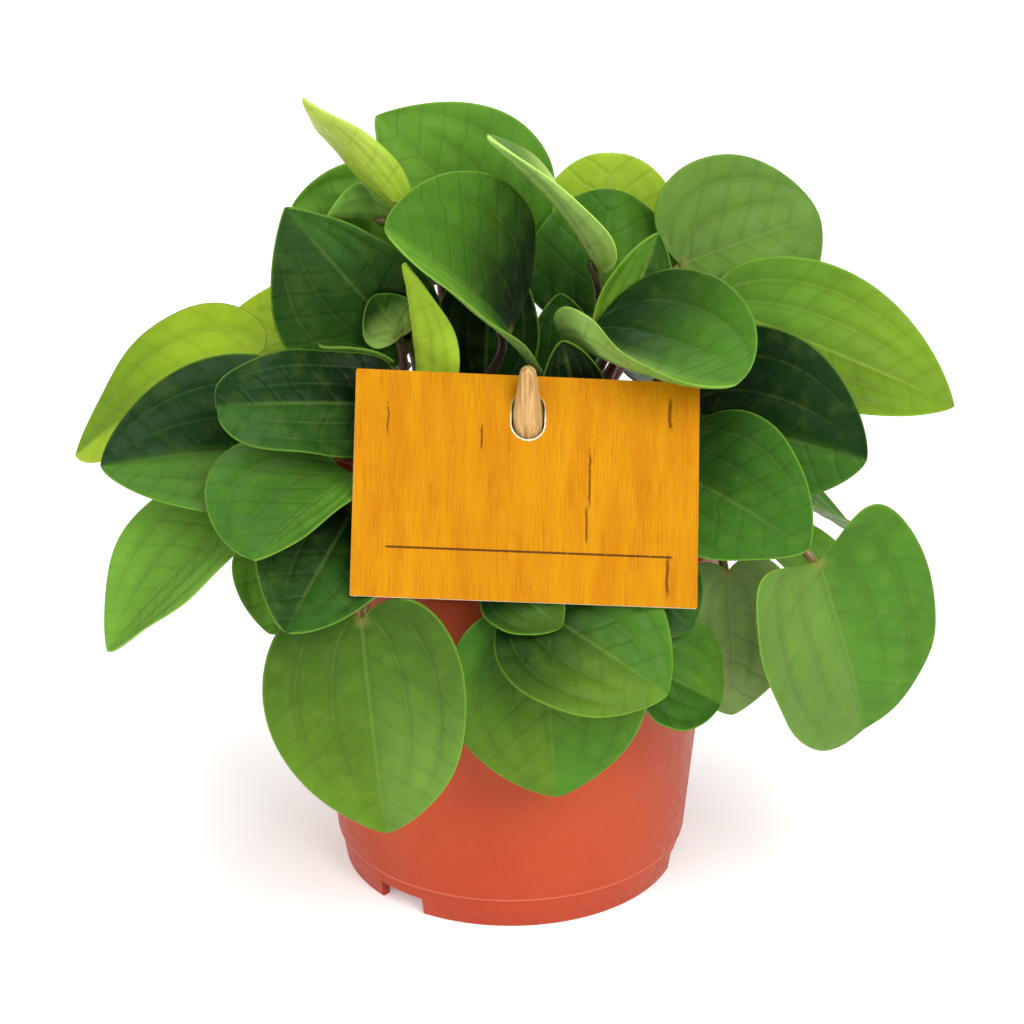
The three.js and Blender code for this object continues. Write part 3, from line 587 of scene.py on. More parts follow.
class Blade:
    """The curved sheet of one leaf, from its row in the table of leaves."""

    def __init__(self, row):
        self.name, self.stem, self.height, base, tip, face = row[:6]
        width, curl, fold, cup, self.lobe, self.point, self.uneven, tones = row[6:]
        self.tones = (tones.split() * 4)[:4]
        self.start = np.array(base, float)
        chord = np.array(tip, float) - self.start
        size = np.linalg.norm(chord)
        self.along = chord / size
        face = np.array(face, float)
        self.up = unit(face - self.along * (face @ self.along))
        self.side = np.cross(self.along, self.up)
        angles = (curl, fold, cup, GATHERED.get(self.name, 0))
        self.bend, self.fold, self.cup, self.gather = map(math.radians, angles)
        self.length = size * (self.bend / 2) / math.sin(self.bend / 2)
        self.half = width / 2
        self.wave = WAVY.get(self.name, 0)

    def share_of_half(self, v):
        """Half-width of the outline at a share v of the length."""
        return np.maximum(np.sin(math.pi * v**OUTLINE_SKEW), 0) ** self.point

    def reach(self, v, t):
        """How far a point is from the midrib, across the blade."""
        return self.half * (1 + self.uneven * np.sign(t)) * self.share_of_half(v) * t

    def midline(self, row):
        """Points of the midrib's arc, with the ways forward and up there."""
        half_bend = self.bend / 2
        slope = (half_bend - self.bend * np.maximum(row, 0) / self.length)[..., None]
        cos, sin = np.cos(slope), np.sin(slope)
        radius = self.length / self.bend
        ahead = radius * (math.sin(half_bend) - sin)
        rise = radius * (cos - math.cos(half_bend))
        forward = self.along * cos + self.up * sin
        normal = self.up * cos - self.along * sin
        centre = self.start + self.along * ahead + self.up * rise
        return centre + forward * np.minimum(row, 0)[..., None], normal

    def points(self, v, t, lift):
        """Points of the sheet at v from base to tip and t from edge to edge."""
        v, t, lift = np.broadcast_arrays(v, t, lift)
        lobes = self.lobe * np.sqrt(v) * (1 - v) ** LOBE_FADE
        centre, normal = self.midline(self.length * (v - lobes * np.abs(t) ** LOBE_SPREAD))
        cup = self.cup + np.where(t > 0, self.gather * (1 - v) ** GATHER_FADE, 0)
        tilt = self.fold + cup * np.abs(self.reach(v, t)) / self.half
        out = (np.sin(tilt) - math.sin(self.fold)) * self.half / cup
        ripple = self.wave * np.sin(TURN * WAVES * v) * t * t
        lifted = (math.cos(self.fold) - np.cos(tilt)) * self.half / cup + ripple
        sideways = (np.sign(t) * (out - lift * np.sin(tilt)))[..., None]
        upwards = (lifted + lift * np.cos(tilt))[..., None]
        return centre + self.side * sideways + normal * upwards

    def under(self, v, drop):
        """A point under the midrib."""
        return self.points(v, 0.0, -drop)

    def stalk(self):
        """Four control points of the stalk, and its last point inside the blade."""
        share = LOWEST_STALK + (HIGHEST_STALK - LOWEST_STALK) * self.height
        root = stem_point(self.stem, share)
        joint = STALK_REACH / self.length
        end = self.under(joint, STALK_DROP)
        distance = np.linalg.norm(end - root)
        outwards = unit((end - root) * (1, 1, 0)) * STALK_SPREAD
        outwards[2] = STALK_RISE + max((end[2] - root[2]) / distance, 0)
        below_rim = max(POT_HEIGHT - end[2], 0)
        behind = unit(self.under(0.0, STALK_DROP) - end)
        behind[2] += min(below_rim * RIM_TURN, RIM_TURN_MOST)
        first = root + unit(outwards) * distance * STALK_BOW
        second = end + unit(behind) * (STALK_HANDLE + RIM_CLEARING * below_rim)
        return root, first, second, end, self.under(joint * STALK_SINKS_AT, STALK_SINK)


def relief_of_blade(blade, v, t, rng):
    """How far the real surface stands off the plain sheet."""
    middle = np.sqrt(np.maximum(np.sin(math.pi * v), 0))
    off = np.abs(t)
    span = blade.half * blade.share_of_half(v)
    relief = -MIDRIB_DEPTH * np.exp(-((off * span / MIDRIB_WIDTH) ** 2))
    for place in VEINS:
        relief -= VEIN_DEPTH * np.exp(-(((off - place) * span / VEIN_WIDTH) ** 2))
    relief *= middle
    steps = (v + QUILT_SLANT * off) * blade.length / QUILT_SPACING
    relief += QUILT_DEPTH * middle * np.sin(TURN * steps) * (1 - off)
    size = min(1.0, blade.half / FULL_RELIEF_FROM)
    for _ in range(SWELLS):
        along, across = rng.uniform(0.6, 1.6), rng.uniform(0.4, 1.2)
        wave = np.sin(TURN * (along * v + across * t) + rng.uniform(*ANY_PHASE))
        relief += SWELL_HEIGHT * size * middle * wave
    ripples, phase = rng.uniform(1.6, 3.2), rng.uniform(*ANY_PHASE)
    edge = off**4 * middle * np.sin(TURN * ripples * v + phase + 1.4 * np.sign(t))
    return relief + EDGE_RIPPLE * size * edge


def tone_of_blade(blade, v, t, points, rng):
    """The broad greens of both sides of a blade, as linear colours, with painted shade and light.
    """
    tones = [linear(name) for name in blade.tones]
    along = smooth_step(0.1, 0.8, v)[..., None]
    left = tones[0] * (1 - along) + tones[1] * along
    right = tones[2] * (1 - along) + tones[3] * along
    across = smooth_step(-0.14, 0.14, t)[..., None]
    upper = left * (1 - across) + right * across
    # A slow random drift of the green, and painted shade at the very base of the blade.
    drift = TURN * (0.7 * v + 0.5 * t) + rng.uniform(*ANY_PHASE)
    light = (1 + 0.07 * np.sin(drift)) * (1 - 0.15 * np.exp(-v / 0.1))
    upper = upper * light[..., None]
    # Pale leaves keep their lower side nearly as light as the upper: painted light through the
    # blade.
    if blade.name in PALE_BACKLIT_LEAVES:
        return upper, upper * 0.85 + linear("underside") * 0.15
    lower = upper * 0.6 + linear("underside") * 0.4
    # Painted shade: lower sides darker the further back they lie.
    behind = smooth_step(0, 40, points[..., 1])
    return upper, lower * (1 - 0.5 * behind)[..., None]


def blade_grid():
    """Shares v from base to tip and t from edge to edge, closer together at the ends."""
    share = np.linspace(0, 1, BLADE_ROWS)
    v = (0.5 - 0.5 * np.cos(math.pi * share)) * 0.75 + share**1.3 * 0.25
    u = np.linspace(-1, 1, BLADE_COLUMNS)
    t = u * (1.35 - 0.35 * u * u)
    return np.meshgrid(v, t, indexing="ij")


def join_skins(upper, lower):
    """A closed mesh of two grids that share their rim, with each point's skin and grid place."""
    rows, columns = BLADE_ROWS - 2, BLADE_COLUMNS
    points, skins, order = [upper[0, 0]], [0], [0]
    number = np.zeros((2, rows, columns), int)
    for skin, i, j in np.ndindex(number.shape):
        if skin and j in (0, columns - 1):
            number[1, i, j] = number[0, i, j]
            continue
        number[skin, i, j] = len(points)
        points.append((upper, lower)[skin][i + 1, j])
        skins.append(skin)
        order.append((i + 1) * columns + j)
    last = len(points)
    points.append(upper[-1, 0])
    skins.append(0)
    order.append(BLADE_ROWS * columns - 1)

    faces = []
    for skin, grid in enumerate(number.tolist()):
        for j in range(columns - 1):
            strip = [[0, grid[0][j + 1], grid[0][j]], [last, grid[-1][j], grid[-1][j + 1]]]
            for near, far in zip(grid, grid[1:]):
                strip.append([near[j], near[j + 1], far[j + 1], far[j]])
            faces += [face[::-1] if skin else face for face in strip]
    return points, faces, skins, order


def leaf_piece(row, material):
    blade = Blade(row)
    rng = random.Random("leaf " + blade.name)
    v, t = blade_grid()
    relief = relief_of_blade(blade, v, t, rng)
    tones = tone_of_blade(blade, v, t, blade.points(v, t, relief), rng)
    ends = np.clip(np.minimum(v, 1 - v) / 0.02, 0, 1) ** 0.5
    thick = BLADE_HALF_THICKNESS * np.sqrt(np.maximum(1 - np.abs(t) ** 10, 0)) * ends
    upper = blade.points(v, t, relief + thick)
    lower = blade.points(v, t, relief - thick)
    points, faces, skins, order = join_skins(upper, lower)
    piece = make_piece("blade_" + blade.name, points, faces, material)

    v, t = v.ravel()[order], t.ravel()[order]
    store(piece, "blade", v, t, blade.half * blade.share_of_half(v))
    store(piece, "span", blade.reach(v, t), v * blade.length, 0 * v)
    colours = np.ones((len(points), 4), np.float32)
    colours[:, :3] = np.stack(tones).reshape(2, -1, 3)[skins, order]
    tone = piece.data.attributes.new("tone", "FLOAT_COLOR", "POINT")
    tone.data.foreach_set("color", colours.ravel())
    dress(piece, "leaf_" + blade.name)
    return blade


# ----- stems and stalks


def stem_point(name, share):
    """A point on the smooth curve through a stem's foot, collar and top."""
    (x, y), top = STEMS[name]
    knots = [(x, y, SOIL_TOP - STEM_ROOT), (x, y, SOIL_TOP + SOIL_CROWN), top]
    foot, collar, top = (np.array(knot, float) for knot in knots)
    row = [2 * foot - collar, foot, collar, top, 2 * top - collar]
    place = min(share * 2, 1.999999)
    first = int(place)
    weight = place - first
    p0, p1, p2, p3 = row[first : first + 4]
    d0, d1, d2 = (math.sqrt(np.linalg.norm(b - a)) for a, b in ((p0, p1), (p1, p2), (p2, p3)))
    out = ((p1 - p0) / d0 - (p2 - p0) / (d0 + d1) + (p2 - p1) / d1) * d1
    into = ((p2 - p1) / d1 - (p3 - p1) / (d1 + d2) + (p3 - p2) / d2) * d1
    squared = -3 * p1 + 3 * p2 - 2 * out - into
    cubed = 2 * p1 - 2 * p2 + out + into
    return p1 + out * weight + squared * weight**2 + cubed * weight**3


def bezier(points, shares):
    a, b, c, d = points
    s = np.asarray(shares)[:, None]
    return a * (1 - s) ** 3 + 3 * b * s * (1 - s) ** 2 + 3 * c * s * s * (1 - s) + d * s**3


def tube(path, radii, sides):
    """Points and faces of a closed round rod along a path."""
    points, faces = [], []
    across = unit(np.cross(unit(path[1] - path[0]), (0.3, 0.9, 0.2)))
    for i, (centre, radius) in enumerate(zip(path, radii)):
        low, high = path[max(i - 1, 0)], path[min(i + 1, len(path) - 1)]
        heading = unit(high - low)
        across = unit(across - heading * (across @ heading))
        other = np.cross(heading, across)
        for k in range(sides):
            x, y = polar(1, TURN * k / sides)
            points.append(centre + radius * (across * x + other * y))
    for i in range(len(path) - 1):
        for k in range(sides):
            a, b = i * sides + k, i * sides + (k + 1) % sides
            faces.append([a, b, b + sides, a + sides])
    faces.append(list(reversed(range(sides))))
    faces.append(list(range(len(points) - sides, len(points))))
    return points, faces


def stem_rod(name):
    """Path and radii of a stem, swollen at its joints and rounded off at its top."""
    steps = np.linspace(0, 1, STEM_STEPS)
    path = np.array([stem_point(name, share) for share in steps])
    radii = STEM_RADIUS * (1 - STEM_TAPER * steps) * (1 + 0.05 * np.sin(steps * 40))
    path = np.vstack([path, path[-1] + (0, 0, 1.6), path[-1] + (0, 0, 2.4)])
    return path, np.append(radii, [radii[-1] * 0.7, radii[-1] * 0.25])


def stalk_rod(blade):
    """Path and radii of a stalk, thicker where it leaves its stem."""
    *control, joined = blade.stalk()
    steps = np.linspace(0, 1, STALK_STEPS)
    path = np.vstack([bezier(control, steps), joined])
    radii = STALK_RADIUS + (STALK_END_RADIUS - STALK_RADIUS) * steps
    return path, np.append(radii * (1 + 0.5 * np.exp(-steps * 12)), STALK_TIP_RADIUS), steps


def stem_piece(name, blades, material):
    """A stem fused with its stalks. Each point keeps its share of the way along its stalk."""
    path, radii = stem_rod(name)
    points, faces = tube(path, radii, STEM_SIDES)
    shares = [0] * len(points)
    for blade in blades:
        path, radii, steps = stalk_rod(blade)
        add(points, faces, *tube(path, radii, STALK_SIDES))
        shares.extend(np.repeat(np.append(steps, 1.0), STALK_SIDES))
    piece = make_piece("stems_" + name, points, faces, material)
    store(piece, "stalk", shares, shares, shares)
    dress(piece, "stem_" + name)


def stalk_material():
    s = Shader("stalk_skin", 0.42)
    share, _, _ = s.split(s.attribute("stalk"))
    place = s.place()
    x, y, _ = s.split(place)
    blotches = s.noise(place, 260, 3)
    blotched = s.ramp(blotches, 0.35, 0.65)
    red = s.mix(blotched, "dark_red", "red")
    green = s.mix(blotched, "stalk_green", "light_stalk_green")
    towards_leaf = s.plus(share, s.times(blotches, 0.3))
    s.colour = s.mix(s.ramp(towards_leaf, 0.85, 1.25), red, green)
    flecks = s.noise(s.scaled(place, (1, 1, 0.35)), 1400, 2)
    s.over(s.ramp(flecks, 0.55, 0.7, 0, 0.35), "fleck")
    # Painted shade: the stalks darker near the middle of the plant.
    s.over(s.ramp(s.slant(x, y), 20 * MM, 55 * MM, 0.8, 0), "stem_painted_shade")
    s.bump(flecks, distance=0.3 * MM, strength=0.4)
    return s.finish()


# ----- pot


def lathe(name, profile, sides, material):
    """A closed body turned about the Z axis from a closed profile."""
    points, faces = [], []
    count = len(profile)
    for k in range(sides):
        points += [(*polar(radius, TURN * k / sides), height) for radius, height in profile]
        here, there = k * count, (k + 1) % sides * count
        for i in range(count):
            j = (i + 1) % count
            faces.append([here + i, there + i, there + j, here + j])
    return make_piece(name, points, faces, material)


def wall_radius(height):
    share = (height - POT_STEP_HEIGHT) / (POT_HEIGHT - POT_BAND_HEIGHT - POT_STEP_HEIGHT)
    return POT_STEP_RADIUS + (POT_BODY_TOP_RADIUS - POT_STEP_RADIUS) * share


def pot_outside(band, step):
    """Foot, moulded step, wall, ledge, band and rounded lip, from the bottom up."""
    foot, low, rim, top = POT_FOOT_RADIUS, POT_STEP_RADIUS, POT_RIM_RADIUS, POT_HEIGHT
    return [
        (foot - 0.4, 0),
        (foot, 0.4),
        (foot + 1.15, step - 1.5),
        (foot + 1.25, step - 1.05),
        (low - 0.55, step - 0.75),
        (low - 0.1, step - 0.35),
        (low, step),
        *((wall_radius(height), height) for height in (20, 35, 50, 65, 80, band - 0.5)),
        (POT_BODY_TOP_RADIUS + 0.25, band - 0.05),
        (rim - 2.2, band + 0.55),
        (rim - 1.6, band + 0.85),
        (rim - 1.35, band + 1.4),
        (rim - 0.7, band + 8),
        (rim - 0.08, top - 1.9),
        (rim, top - 1.1),
        (rim - 0.12, top - 0.5),
        (rim - 0.45, top - 0.1),
        (rim - 0.8, top),
    ]


def pot_inside(band, step):
    """Lip, band, wall and floor, from the top down, then the hollow under the floor."""
    lip = POT_RIM_RADIUS - POT_WALL
    foot = POT_FOOT_RADIUS - 2 * POT_WALL
    floor = POT_FLOOR_HEIGHT + POT_WALL
    past_holes = DRAIN_CIRCLE_RADIUS + 2 * DRAIN_HOLE_RADIUS
    return [
        (lip - 0.4, POT_HEIGHT - 0.2),
        (lip - 0.7, POT_HEIGHT - 1),
        (lip - 1.4, band + 1.2),
        (POT_BODY_TOP_RADIUS - POT_WALL, band),
        (POT_STEP_RADIUS - POT_WALL, step),
        (POT_STEP_RADIUS - POT_WALL - 1, floor),
        (past_holes, floor),
        (0.01, floor),
        (0.01, POT_FLOOR_HEIGHT),
        (past_holes, POT_FLOOR_HEIGHT),
        (foot, POT_FLOOR_HEIGHT),
        (foot, 0),
    ]


def notch_cutters():
    """Blocks that cut the drain notches into the foot."""
    points, faces = [], []
    sides = [(0, 1, 3, 2), (4, 6, 7, 5), (0, 4, 5, 1), (2, 3, 7, 6), (0, 2, 6, 4), (1, 5, 7, 3)]
    for i in range(NOTCH_COUNT):
        cos, sin = polar(1, math.radians(NOTCH_FIRST_ANGLE + 360 / NOTCH_COUNT * i))
        block = []
        for x in (POT_FOOT_RADIUS - CUT_DEPTH / 2, POT_FOOT_RADIUS + CUT_DEPTH / 2):
            for y in (-NOTCH_WIDTH / 2, NOTCH_WIDTH / 2):
                for z in (-NOTCH_HEIGHT, NOTCH_HEIGHT):
                    block.append((x * cos - y * sin, x * sin + y * cos, z))
        add(points, faces, block, sides)
    return points, faces


def drain_cutters():
    """Rods that cut the drain holes into the floor."""
    points, faces = [], []
    for i in range(DRAIN_HOLES):
        x, y = polar(DRAIN_CIRCLE_RADIUS, TURN * i / DRAIN_HOLES)
        path = np.array([(x, y, POT_FLOOR_HEIGHT - 4.0), (x, y, POT_FLOOR_HEIGHT + 6.0)])
        add(points, faces, *tube(path, [DRAIN_HOLE_RADIUS] * 2, DRAIN_HOLE_SIDES))
    return points, faces


def cut_away(piece, cutter):
    """Takes the cutter's space out of a piece and removes the cutter."""
    cut = piece.modifiers.new("cut", "BOOLEAN")
    cut.operation = "DIFFERENCE"
    cut.solver = "EXACT"
    cut.object = cutter
    bpy.context.view_layer.objects.active = piece
    bpy.ops.object.modifier_apply(modifier=cut.name)
    bpy.data.objects.remove(cutter)


def pot_piece(material):
    levels = POT_HEIGHT - POT_BAND_HEIGHT, POT_STEP_HEIGHT
    pot = lathe("pot_shell", pot_outside(*levels) + pot_inside(*levels), POT_SIDES, material)
    cut_away(pot, make_piece("notch_cutter", *notch_cutters(), material))
    cut_away(pot, make_piece("hole_cutter", *drain_cutters(), material))
    sharpen(pot, 40)
    dress(pot, "pot")


def pot_material():
    s = Shader("terracotta_plastic", 0.42)
    place = s.place()
    _, _, z = s.split(place)
    clouds = s.noise(place, 26, 3)
    s.colour = s.mix(s.ramp(clouds, 0.35, 0.65), "clay", "light_clay")
    # Painted shade: the pot darker towards its foot.
    s.over(s.times(s.ramp(z, 85 * MM, 0.0), 0.5), "clay_painted_shade")
    dust = s.noise(place, 420, 4)
    s.over(s.ramp(dust, 0.56, 0.75, 0, 0.08), "clay_dust")
    seam = s.ramp(s.apart(z, (POT_STEP_HEIGHT - 0.3) * MM), 0.2 * MM, 0.7 * MM, 1, 0)
    s.over(s.times(seam, 0.35), "clay_seam")
    rings = s.noise(s.scaled(place, (1, 1, 14)), 60, 3)
    grain = s.noise(place, 1600, 3)
    height = s.plus(s.times(rings, 0.5), s.times(grain, 0.35))
    s.bump(height, distance=0.25 * MM, strength=0.5)
    s.set(Roughness=s.ramp(dust, 0.35, 0.7, 0.40, 0.56))
    return s.finish(Specular_IOR_Level=0.25)


# ----- soil


def soil_height(x, y, share):
    """The rough, slightly domed top of the soil."""
    coarse = noise.noise(Vector((x / 9, y / 9, 1.7)))
    fine = noise.noise(Vector((x / 3.1, y / 3.1, 5.2)))
    rough = (1.3 * coarse + 1.0 * fine) * (1 - share**8)
    return SOIL_TOP + SOIL_CROWN * (1 - share**2) + rough - 0.8


def soil_body(edge, wall):
    """The soil's top in rings, and its plain sides and bottom."""
    points, faces = [], []
    angles = [TURN * k / SOIL_SIDES for k in range(SOIL_SIDES)]
    for ring in range(SOIL_RINGS + 1):
        share = ring / SOIL_RINGS
        for angle in angles:
            x, y = polar(edge * max(share, 0.002), angle)
            points.append((x, y, soil_height(x, y, share)))
    floor = POT_FLOOR_HEIGHT + POT_WALL + GAP
    for radius, height in (
        (POT_BODY_TOP_RADIUS - wall, POT_HEIGHT - POT_BAND_HEIGHT),
        (POT_STEP_RADIUS - wall, POT_STEP_HEIGHT + GAP),
        (POT_STEP_RADIUS - wall - 1, floor),
        (0.1, floor),
    ):
        points += [(*polar(radius, angle), height) for angle in angles]
    last = len(points) - SOIL_SIDES
    for start in range(0, last, SOIL_SIDES):
        for k in range(SOIL_SIDES):
            a, b = start + k, start + (k + 1) % SOIL_SIDES
            faces.append([a, a + SOIL_SIDES, b + SOIL_SIDES, b])
    faces.append(list(range(SOIL_SIDES)))
    faces.append([last + k for k in reversed(range(SOIL_SIDES))])
    return points, faces


def crumb(place, size, rng):
    """A small rough lump of soil: an octahedron with its corners moved a little."""
    corners = [(1, 0, 0), (0, 1, 0), (-1, 0, 0), (0, -1, 0), (0, 0, 1), (0, 0, -1)]
    stretch = (rng.uniform(0.7, 1.5), rng.uniform(0.6, 1.2), rng.uniform(0.4, 0.8))
    cos, sin = polar(1, rng.uniform(*ANY_PHASE))
    points = []
    for x, y, z in corners:
        wobble = [rng.uniform(0.8, 1.2) for _ in range(3)]
        turned = (x * cos - y * sin, x * sin + y * cos, z)
        lump = zip(place, turned, stretch, wobble)
        points.append([p + c * s * w * size for p, c, s, w in lump])
    faces = [(0, 1, 4), (1, 2, 4), (2, 3, 4), (3, 0, 4), (1, 0, 5), (2, 1, 5), (3, 2, 5), (0, 3, 5)]
    return points, faces


def soil_piece(material):
    wall = POT_WALL + GAP
    edge = POT_RIM_RADIUS - POT_BAND_INSET - wall
    points, faces = soil_body(edge, wall)
    rng = random.Random("crumbs")
    for _ in range(SOIL_CRUMBS):
        radius, angle = edge * 0.97 * math.sqrt(rng.random()), rng.uniform(0, TURN)
        z = SOIL_TOP + SOIL_CROWN * (1 - (radius / edge) ** 2) - 0.4
        place = (*polar(radius, angle), z)
        add(points, faces, *crumb(place, rng.uniform(0.8, 2.6), rng))
    piece = make_piece("potting_soil", points, faces, material)
    sharpen(piece, 35)
    dress(piece, "soil")


def soil_material():
    s = Shader("peat", 0.95)
    place = s.place()
    clumps = s.noise(place, 300, 4)
    s.colour = s.mix(s.ramp(clumps, 0.35, 0.7), "peat", "light_peat")
    fibres = s.noise(s.scaled(place, (3, 1, 1)), 700, 3)
    s.over(s.ramp(fibres, 0.62, 0.72, 0, 0.5), "fibre")
    s.bump(clumps, distance=1.2 * MM, strength=0.8)
    return s.finish()


# ----- pin


def turn_matrix(axis, degrees):
    cos, sin = polar(1, math.radians(degrees))
    i, j = (axis + 1) % 3, (axis + 2) % 3
    matrix = np.eye(3)
    matrix[i, i] = matrix[j, j] = cos
    matrix[j, i], matrix[i, j] = sin, -sin
    return matrix


def pin_piece(material):
    end = PIN_ABOVE_CARD - PIN_LENGTH
    shank = PIN_TIP[-1][0]
    profile = [(0.02, end), (PIN_END_RADIUS, end), (shank, end + PIN_END_TAPER)]
    profile += [(shank, height) for height in (-70, -40, -15, -5)]
    profile += [(radius, PIN_ABOVE_CARD - down) for radius, down in reversed(PIN_TIP)]
    piece = lathe("wood_pin", profile, PIN_SIDES, material)
    lean = turn_matrix(X, PIN_LEAN)
    for point in piece.data.vertices:
        point.co = (lean @ np.array(point.co) + np.array(CARD_HANGS_AT) * MM).tolist()
    sharpen(piece, 60)
    dress(piece, "label_pin")


def pin_material():
    s = Shader("pale_wood", 0.62)
    place = s.place()
    fibres = s.noise(s.scaled(place, (1, 1, 0.07)), 900, 4, 0.6)
    s.colour = s.mix(s.ramp(fibres, 0.3, 0.7), "wood", "light_wood")
    streaks = s.noise(s.scaled(place, (1, 1, 0.05)), 2200, 2)
    s.over(s.ramp(streaks, 0.58, 0.7, 0, 0.3), "wood_streak")
    s.bump(fibres, distance=0.3 * MM, strength=0.7)
    return s.finish()


# ----- card


def arc(x, y, radius, start, sweep, steps):
    angles = (math.radians(start + sweep * step / steps) for step in range(steps + 1))
    return [(x + radius * math.cos(angle), y + radius * math.sin(angle)) for angle in angles]


def card_loops():
    """The card's edge and its slot, from the middle of the slot."""
    side = CARD_WIDTH / 2 - CARD_CORNER
    top = CARD_HOLE_FROM_TOP - CARD_CORNER
    bottom = CARD_HOLE_FROM_TOP - CARD_HEIGHT + CARD_CORNER
    corners = ((side, top), (-side, top), (-side, bottom), (side, bottom))
    edge = []
    for i, (x, y) in enumerate(corners):
        edge += arc(x, y, CARD_CORNER, 90 * i, 90, 3)
    end = CARD_HOLE_WIDTH / 2
    reach = CARD_HOLE_LENGTH / 2 - end
    return edge, arc(0, reach, end, 0, 180, 16) + arc(0, -reach, end, 180, 180, 16)


def flat_card():
    """The card lying flat: a filled curve with its thickness, as a mesh."""
    flat = bpy.data.curves.new("card_outline", "CURVE")
    flat.dimensions = "2D"
    flat.fill_mode = "BOTH"
    flat.extrude = CARD_THICKNESS / 2 * MM
    for loop in card_loops():
        spline = flat.splines.new("POLY")
        spline.points.add(len(loop) - 1)
        for point, (x, y) in zip(spline.points, loop):
            point.co = (x * MM, y * MM, 0, 1)
        spline.use_cyclic_u = True
    holder = new_object("card_outline", flat)
    bpy.context.view_layer.update()
    shown = holder.evaluated_get(bpy.context.evaluated_depsgraph_get())
    mesh = bpy.data.meshes.new_from_object(shown)
    bpy.data.objects.remove(holder)
    return mesh


def card_piece(material):
    mesh = flat_card()
    x, y, z = np.array([tuple(point.co) for point in mesh.vertices]).T / MM
    depth = z + CARD_THICKNESS / 2
    points = np.stack([x, -depth, y], axis=1)
    for axis, degrees in ((Y, CARD_ROLL), (X, -CARD_LEAN), (Z, CARD_TURN)):
        points = points @ turn_matrix(axis, degrees).T
    faces = [list(face.vertices) for face in mesh.polygons]
    piece = make_piece("printed_card", points + CARD_HANGS_AT, faces, material, smooth=False)
    store(piece, "sheet", x, y, depth / CARD_THICKNESS)
    dress(piece, "label_card")


def printed_wood(s, sheet):
    """Fine vertical wood grain."""
    broad = s.noise(s.scaled(sheet, (0.10, 0.018, 0)), 1.6, 3)
    fine = s.noise(s.scaled(sheet, (1.6, 0.05, 0)), 1.5, 4, 0.65)
    hair = s.noise(s.scaled(sheet, (4.0, 0.10, 0)), 1.3, 3, 0.6)
    pores = s.noise(s.scaled(sheet, (3.0, 0.6, 0)), 1.2, 3, 0.6)
    s.colour = s.mix(s.ramp(broad, 0.3, 0.7), "print", "light_print")
    s.over(s.ramp(fine, 0.48, 0.72, 0, 0.55), "grain")
    s.over(s.ramp(hair, 0.5, 0.7, 0, 0.5), "light_grain")
    s.over(s.ramp(pores, 0.6, 0.75, 0, 0.35), "pore")


def printed_cracks(s, sheet, x, y):
    """Dark, bent and broken cracks."""
    bend = s.times(s.noise(s.scaled(sheet, (0, 0.3, 0)), 1.0, 3), CRACK_BEND)
    broken = s.ramp(s.noise(sheet, 0.7, 3), 0.28, 0.42)
    for at_x, at_y, tall, wide in CRACKS:
        from_line = s.minus(s.minus(x, at_x - CRACK_BEND / 2), bend)
        line = s.ramp(s.unsigned(from_line), 0.1, wide, 1, 0)
        inside = s.ramp(s.apart(y, at_y), tall / 2, tall, 1, 0)
        mask = s.times(s.times(line, inside), broken)
        s.over(s.times(mask, 0.8), "crack")


def ruled_line(s, sheet, x, y):
    """The thin line under the plain field, printed a little unevenly."""
    rule = s.ramp(s.apart(y, RULE_HEIGHT), 0.16, 0.42, 1, 0)
    ends = s.ramp(s.apart(x, RULE_MIDDLE), RULE_HALF - 1.2, RULE_HALF, 1, 0)
    worn = s.ramp(s.noise(s.scaled(sheet, (0.5, 0.5, 0)), 1.4, 3), 0.26, 0.38)
    s.over(s.times(s.times(s.times(rule, ends), worn), 0.9), "rule")


def bare_paper(s, sheet, x, y, depth):
    """Bare paper under the hole, at the cut edges and on the back."""
    end = CARD_HOLE_WIDTH / 2
    past = s.highest(s.minus(s.unsigned(y), CARD_HOLE_LENGTH / 2 - end), 0.0)
    frayed = s.plus(s.slant(x, past), s.times(s.noise(sheet, 1.6, 3), 0.8))
    ring = s.ramp(frayed, end + 0.55, end + 0.85, 1, 0)
    lower_half = s.ramp(y, 2.0, -1.0, 0.25, 0.95)
    s.over(s.times(ring, lower_half), "bare_paper")
    s.over(s.ramp(depth, 0.9, 0.98, 1, 0), "paper")


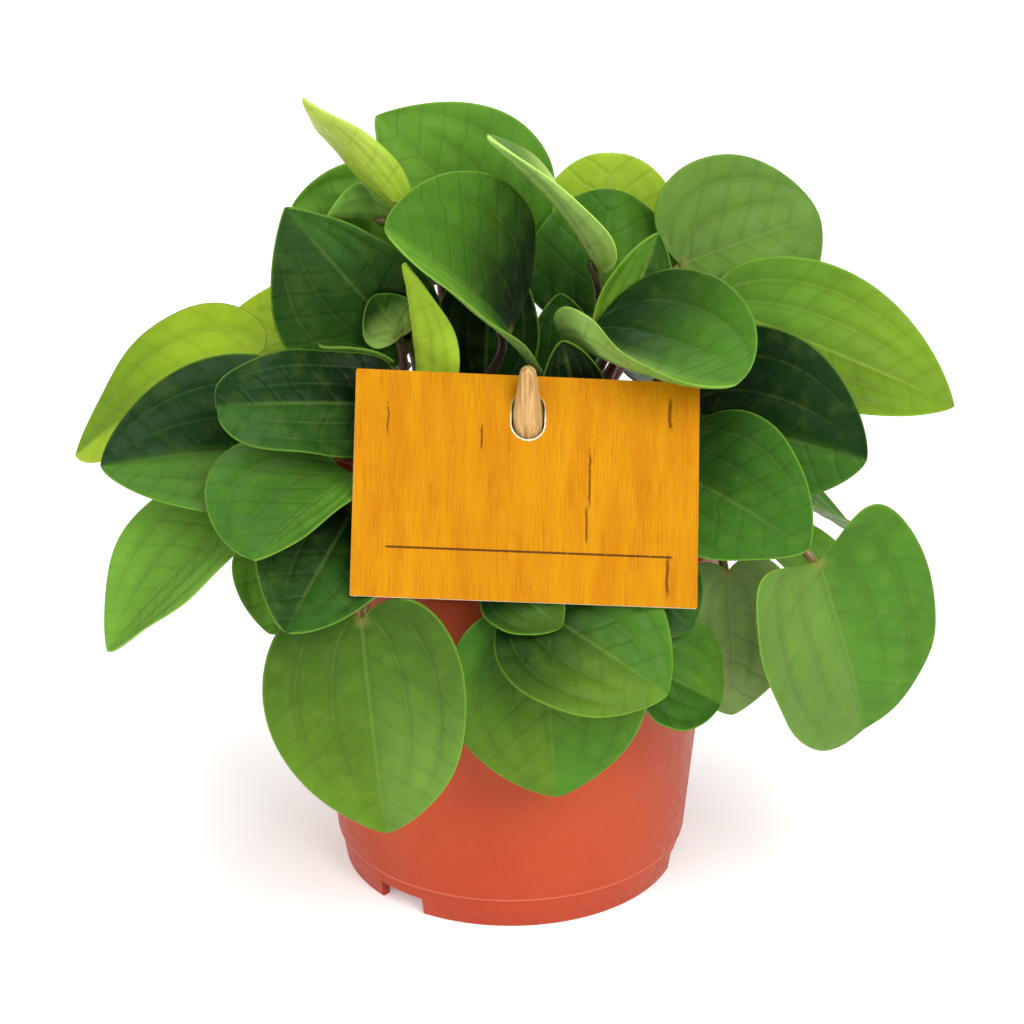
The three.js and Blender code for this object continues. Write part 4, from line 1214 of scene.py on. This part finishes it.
def card_material():
    s = Shader("printed_paper", 0.6)
    sheet = s.attribute("sheet")
    x, y, depth = s.split(sheet)
    printed_wood(s, sheet)
    printed_cracks(s, sheet, x, y)
    ruled_line(s, sheet, x, y)
    bare_paper(s, sheet, x, y, depth)
    s.bump(s.noise(sheet, 6.0, 2), distance=0.2 * MM, strength=0.25)
    return s.finish(Specular_IOR_Level=0.06)


# ----- stage, lights, camera


def stage():
    """A plain floor with a faint glow, which keeps the shadows light."""
    s = Shader("white_floor", 0.8)
    s.colour = s.mix(s.noise(s.place(), 3.0, 2), "floor", "light_floor")
    s.finish(Emission_Color=(1, 1, 1, 1), Emission_Strength=FLOOR_GLOW)
    half = FLOOR_HALF
    corners = [(-half, -half, 0), (half, -half, 0), (half, half, 0), (-half, half, 0)]
    floor = make_piece("floor", corners, [(0, 1, 2, 3)], s.material, smooth=False)


def aim(thing, place, target):
    thing.location = place
    way = Vector(target) - thing.location
    thing.rotation_euler = way.to_track_quat("-Z", "Y").to_euler()


def lights():
    world = bpy.data.worlds.new("studio")
    world.use_nodes = True
    inputs = world.node_tree.nodes["Background"].inputs
    inputs["Color"].default_value = (1, 1, 1, 1)
    inputs["Strength"].default_value = WORLD_LIGHT
    bpy.context.scene.world = world
    for name, (place, diameter, power) in LIGHTS.items():
        light = bpy.data.lights.new(name, "AREA")
        light.shape = "DISK"
        light.size = diameter
        light.energy = power
        aim(new_object(name, light), place, LIGHTS_AIM_AT)


def camera():
    lens = bpy.data.cameras.new("camera")
    lens.lens = LENS
    lens.sensor_width = SENSOR
    eye = new_object("camera", lens)
    aim(eye, CAMERA_AT, CAMERA_LOOKS_AT)
    bpy.context.scene.camera = eye


# ----- everything together


def build():
    bpy.context.scene.view_settings.view_transform = "Standard"
    camera()
    lights()
    stage()
    green = leaf_material("leaf_skin", 0.44, "vein", 0.055)
    pale = leaf_material("pale_leaf_skin", 0.46, "pale_vein", 0.07)
    blades = [leaf_piece(row, pale if row[0] in PALE_BACKLIT_LEAVES else green) for row in LEAVES]
    stalk = stalk_material()
    for name in STEMS:
        stem_piece(name, [blade for blade in blades if blade.stem == name], stalk)
    pot_piece(pot_material())
    soil_piece(soil_material())
    pin_piece(pin_material())
    card_piece(card_material())


build()
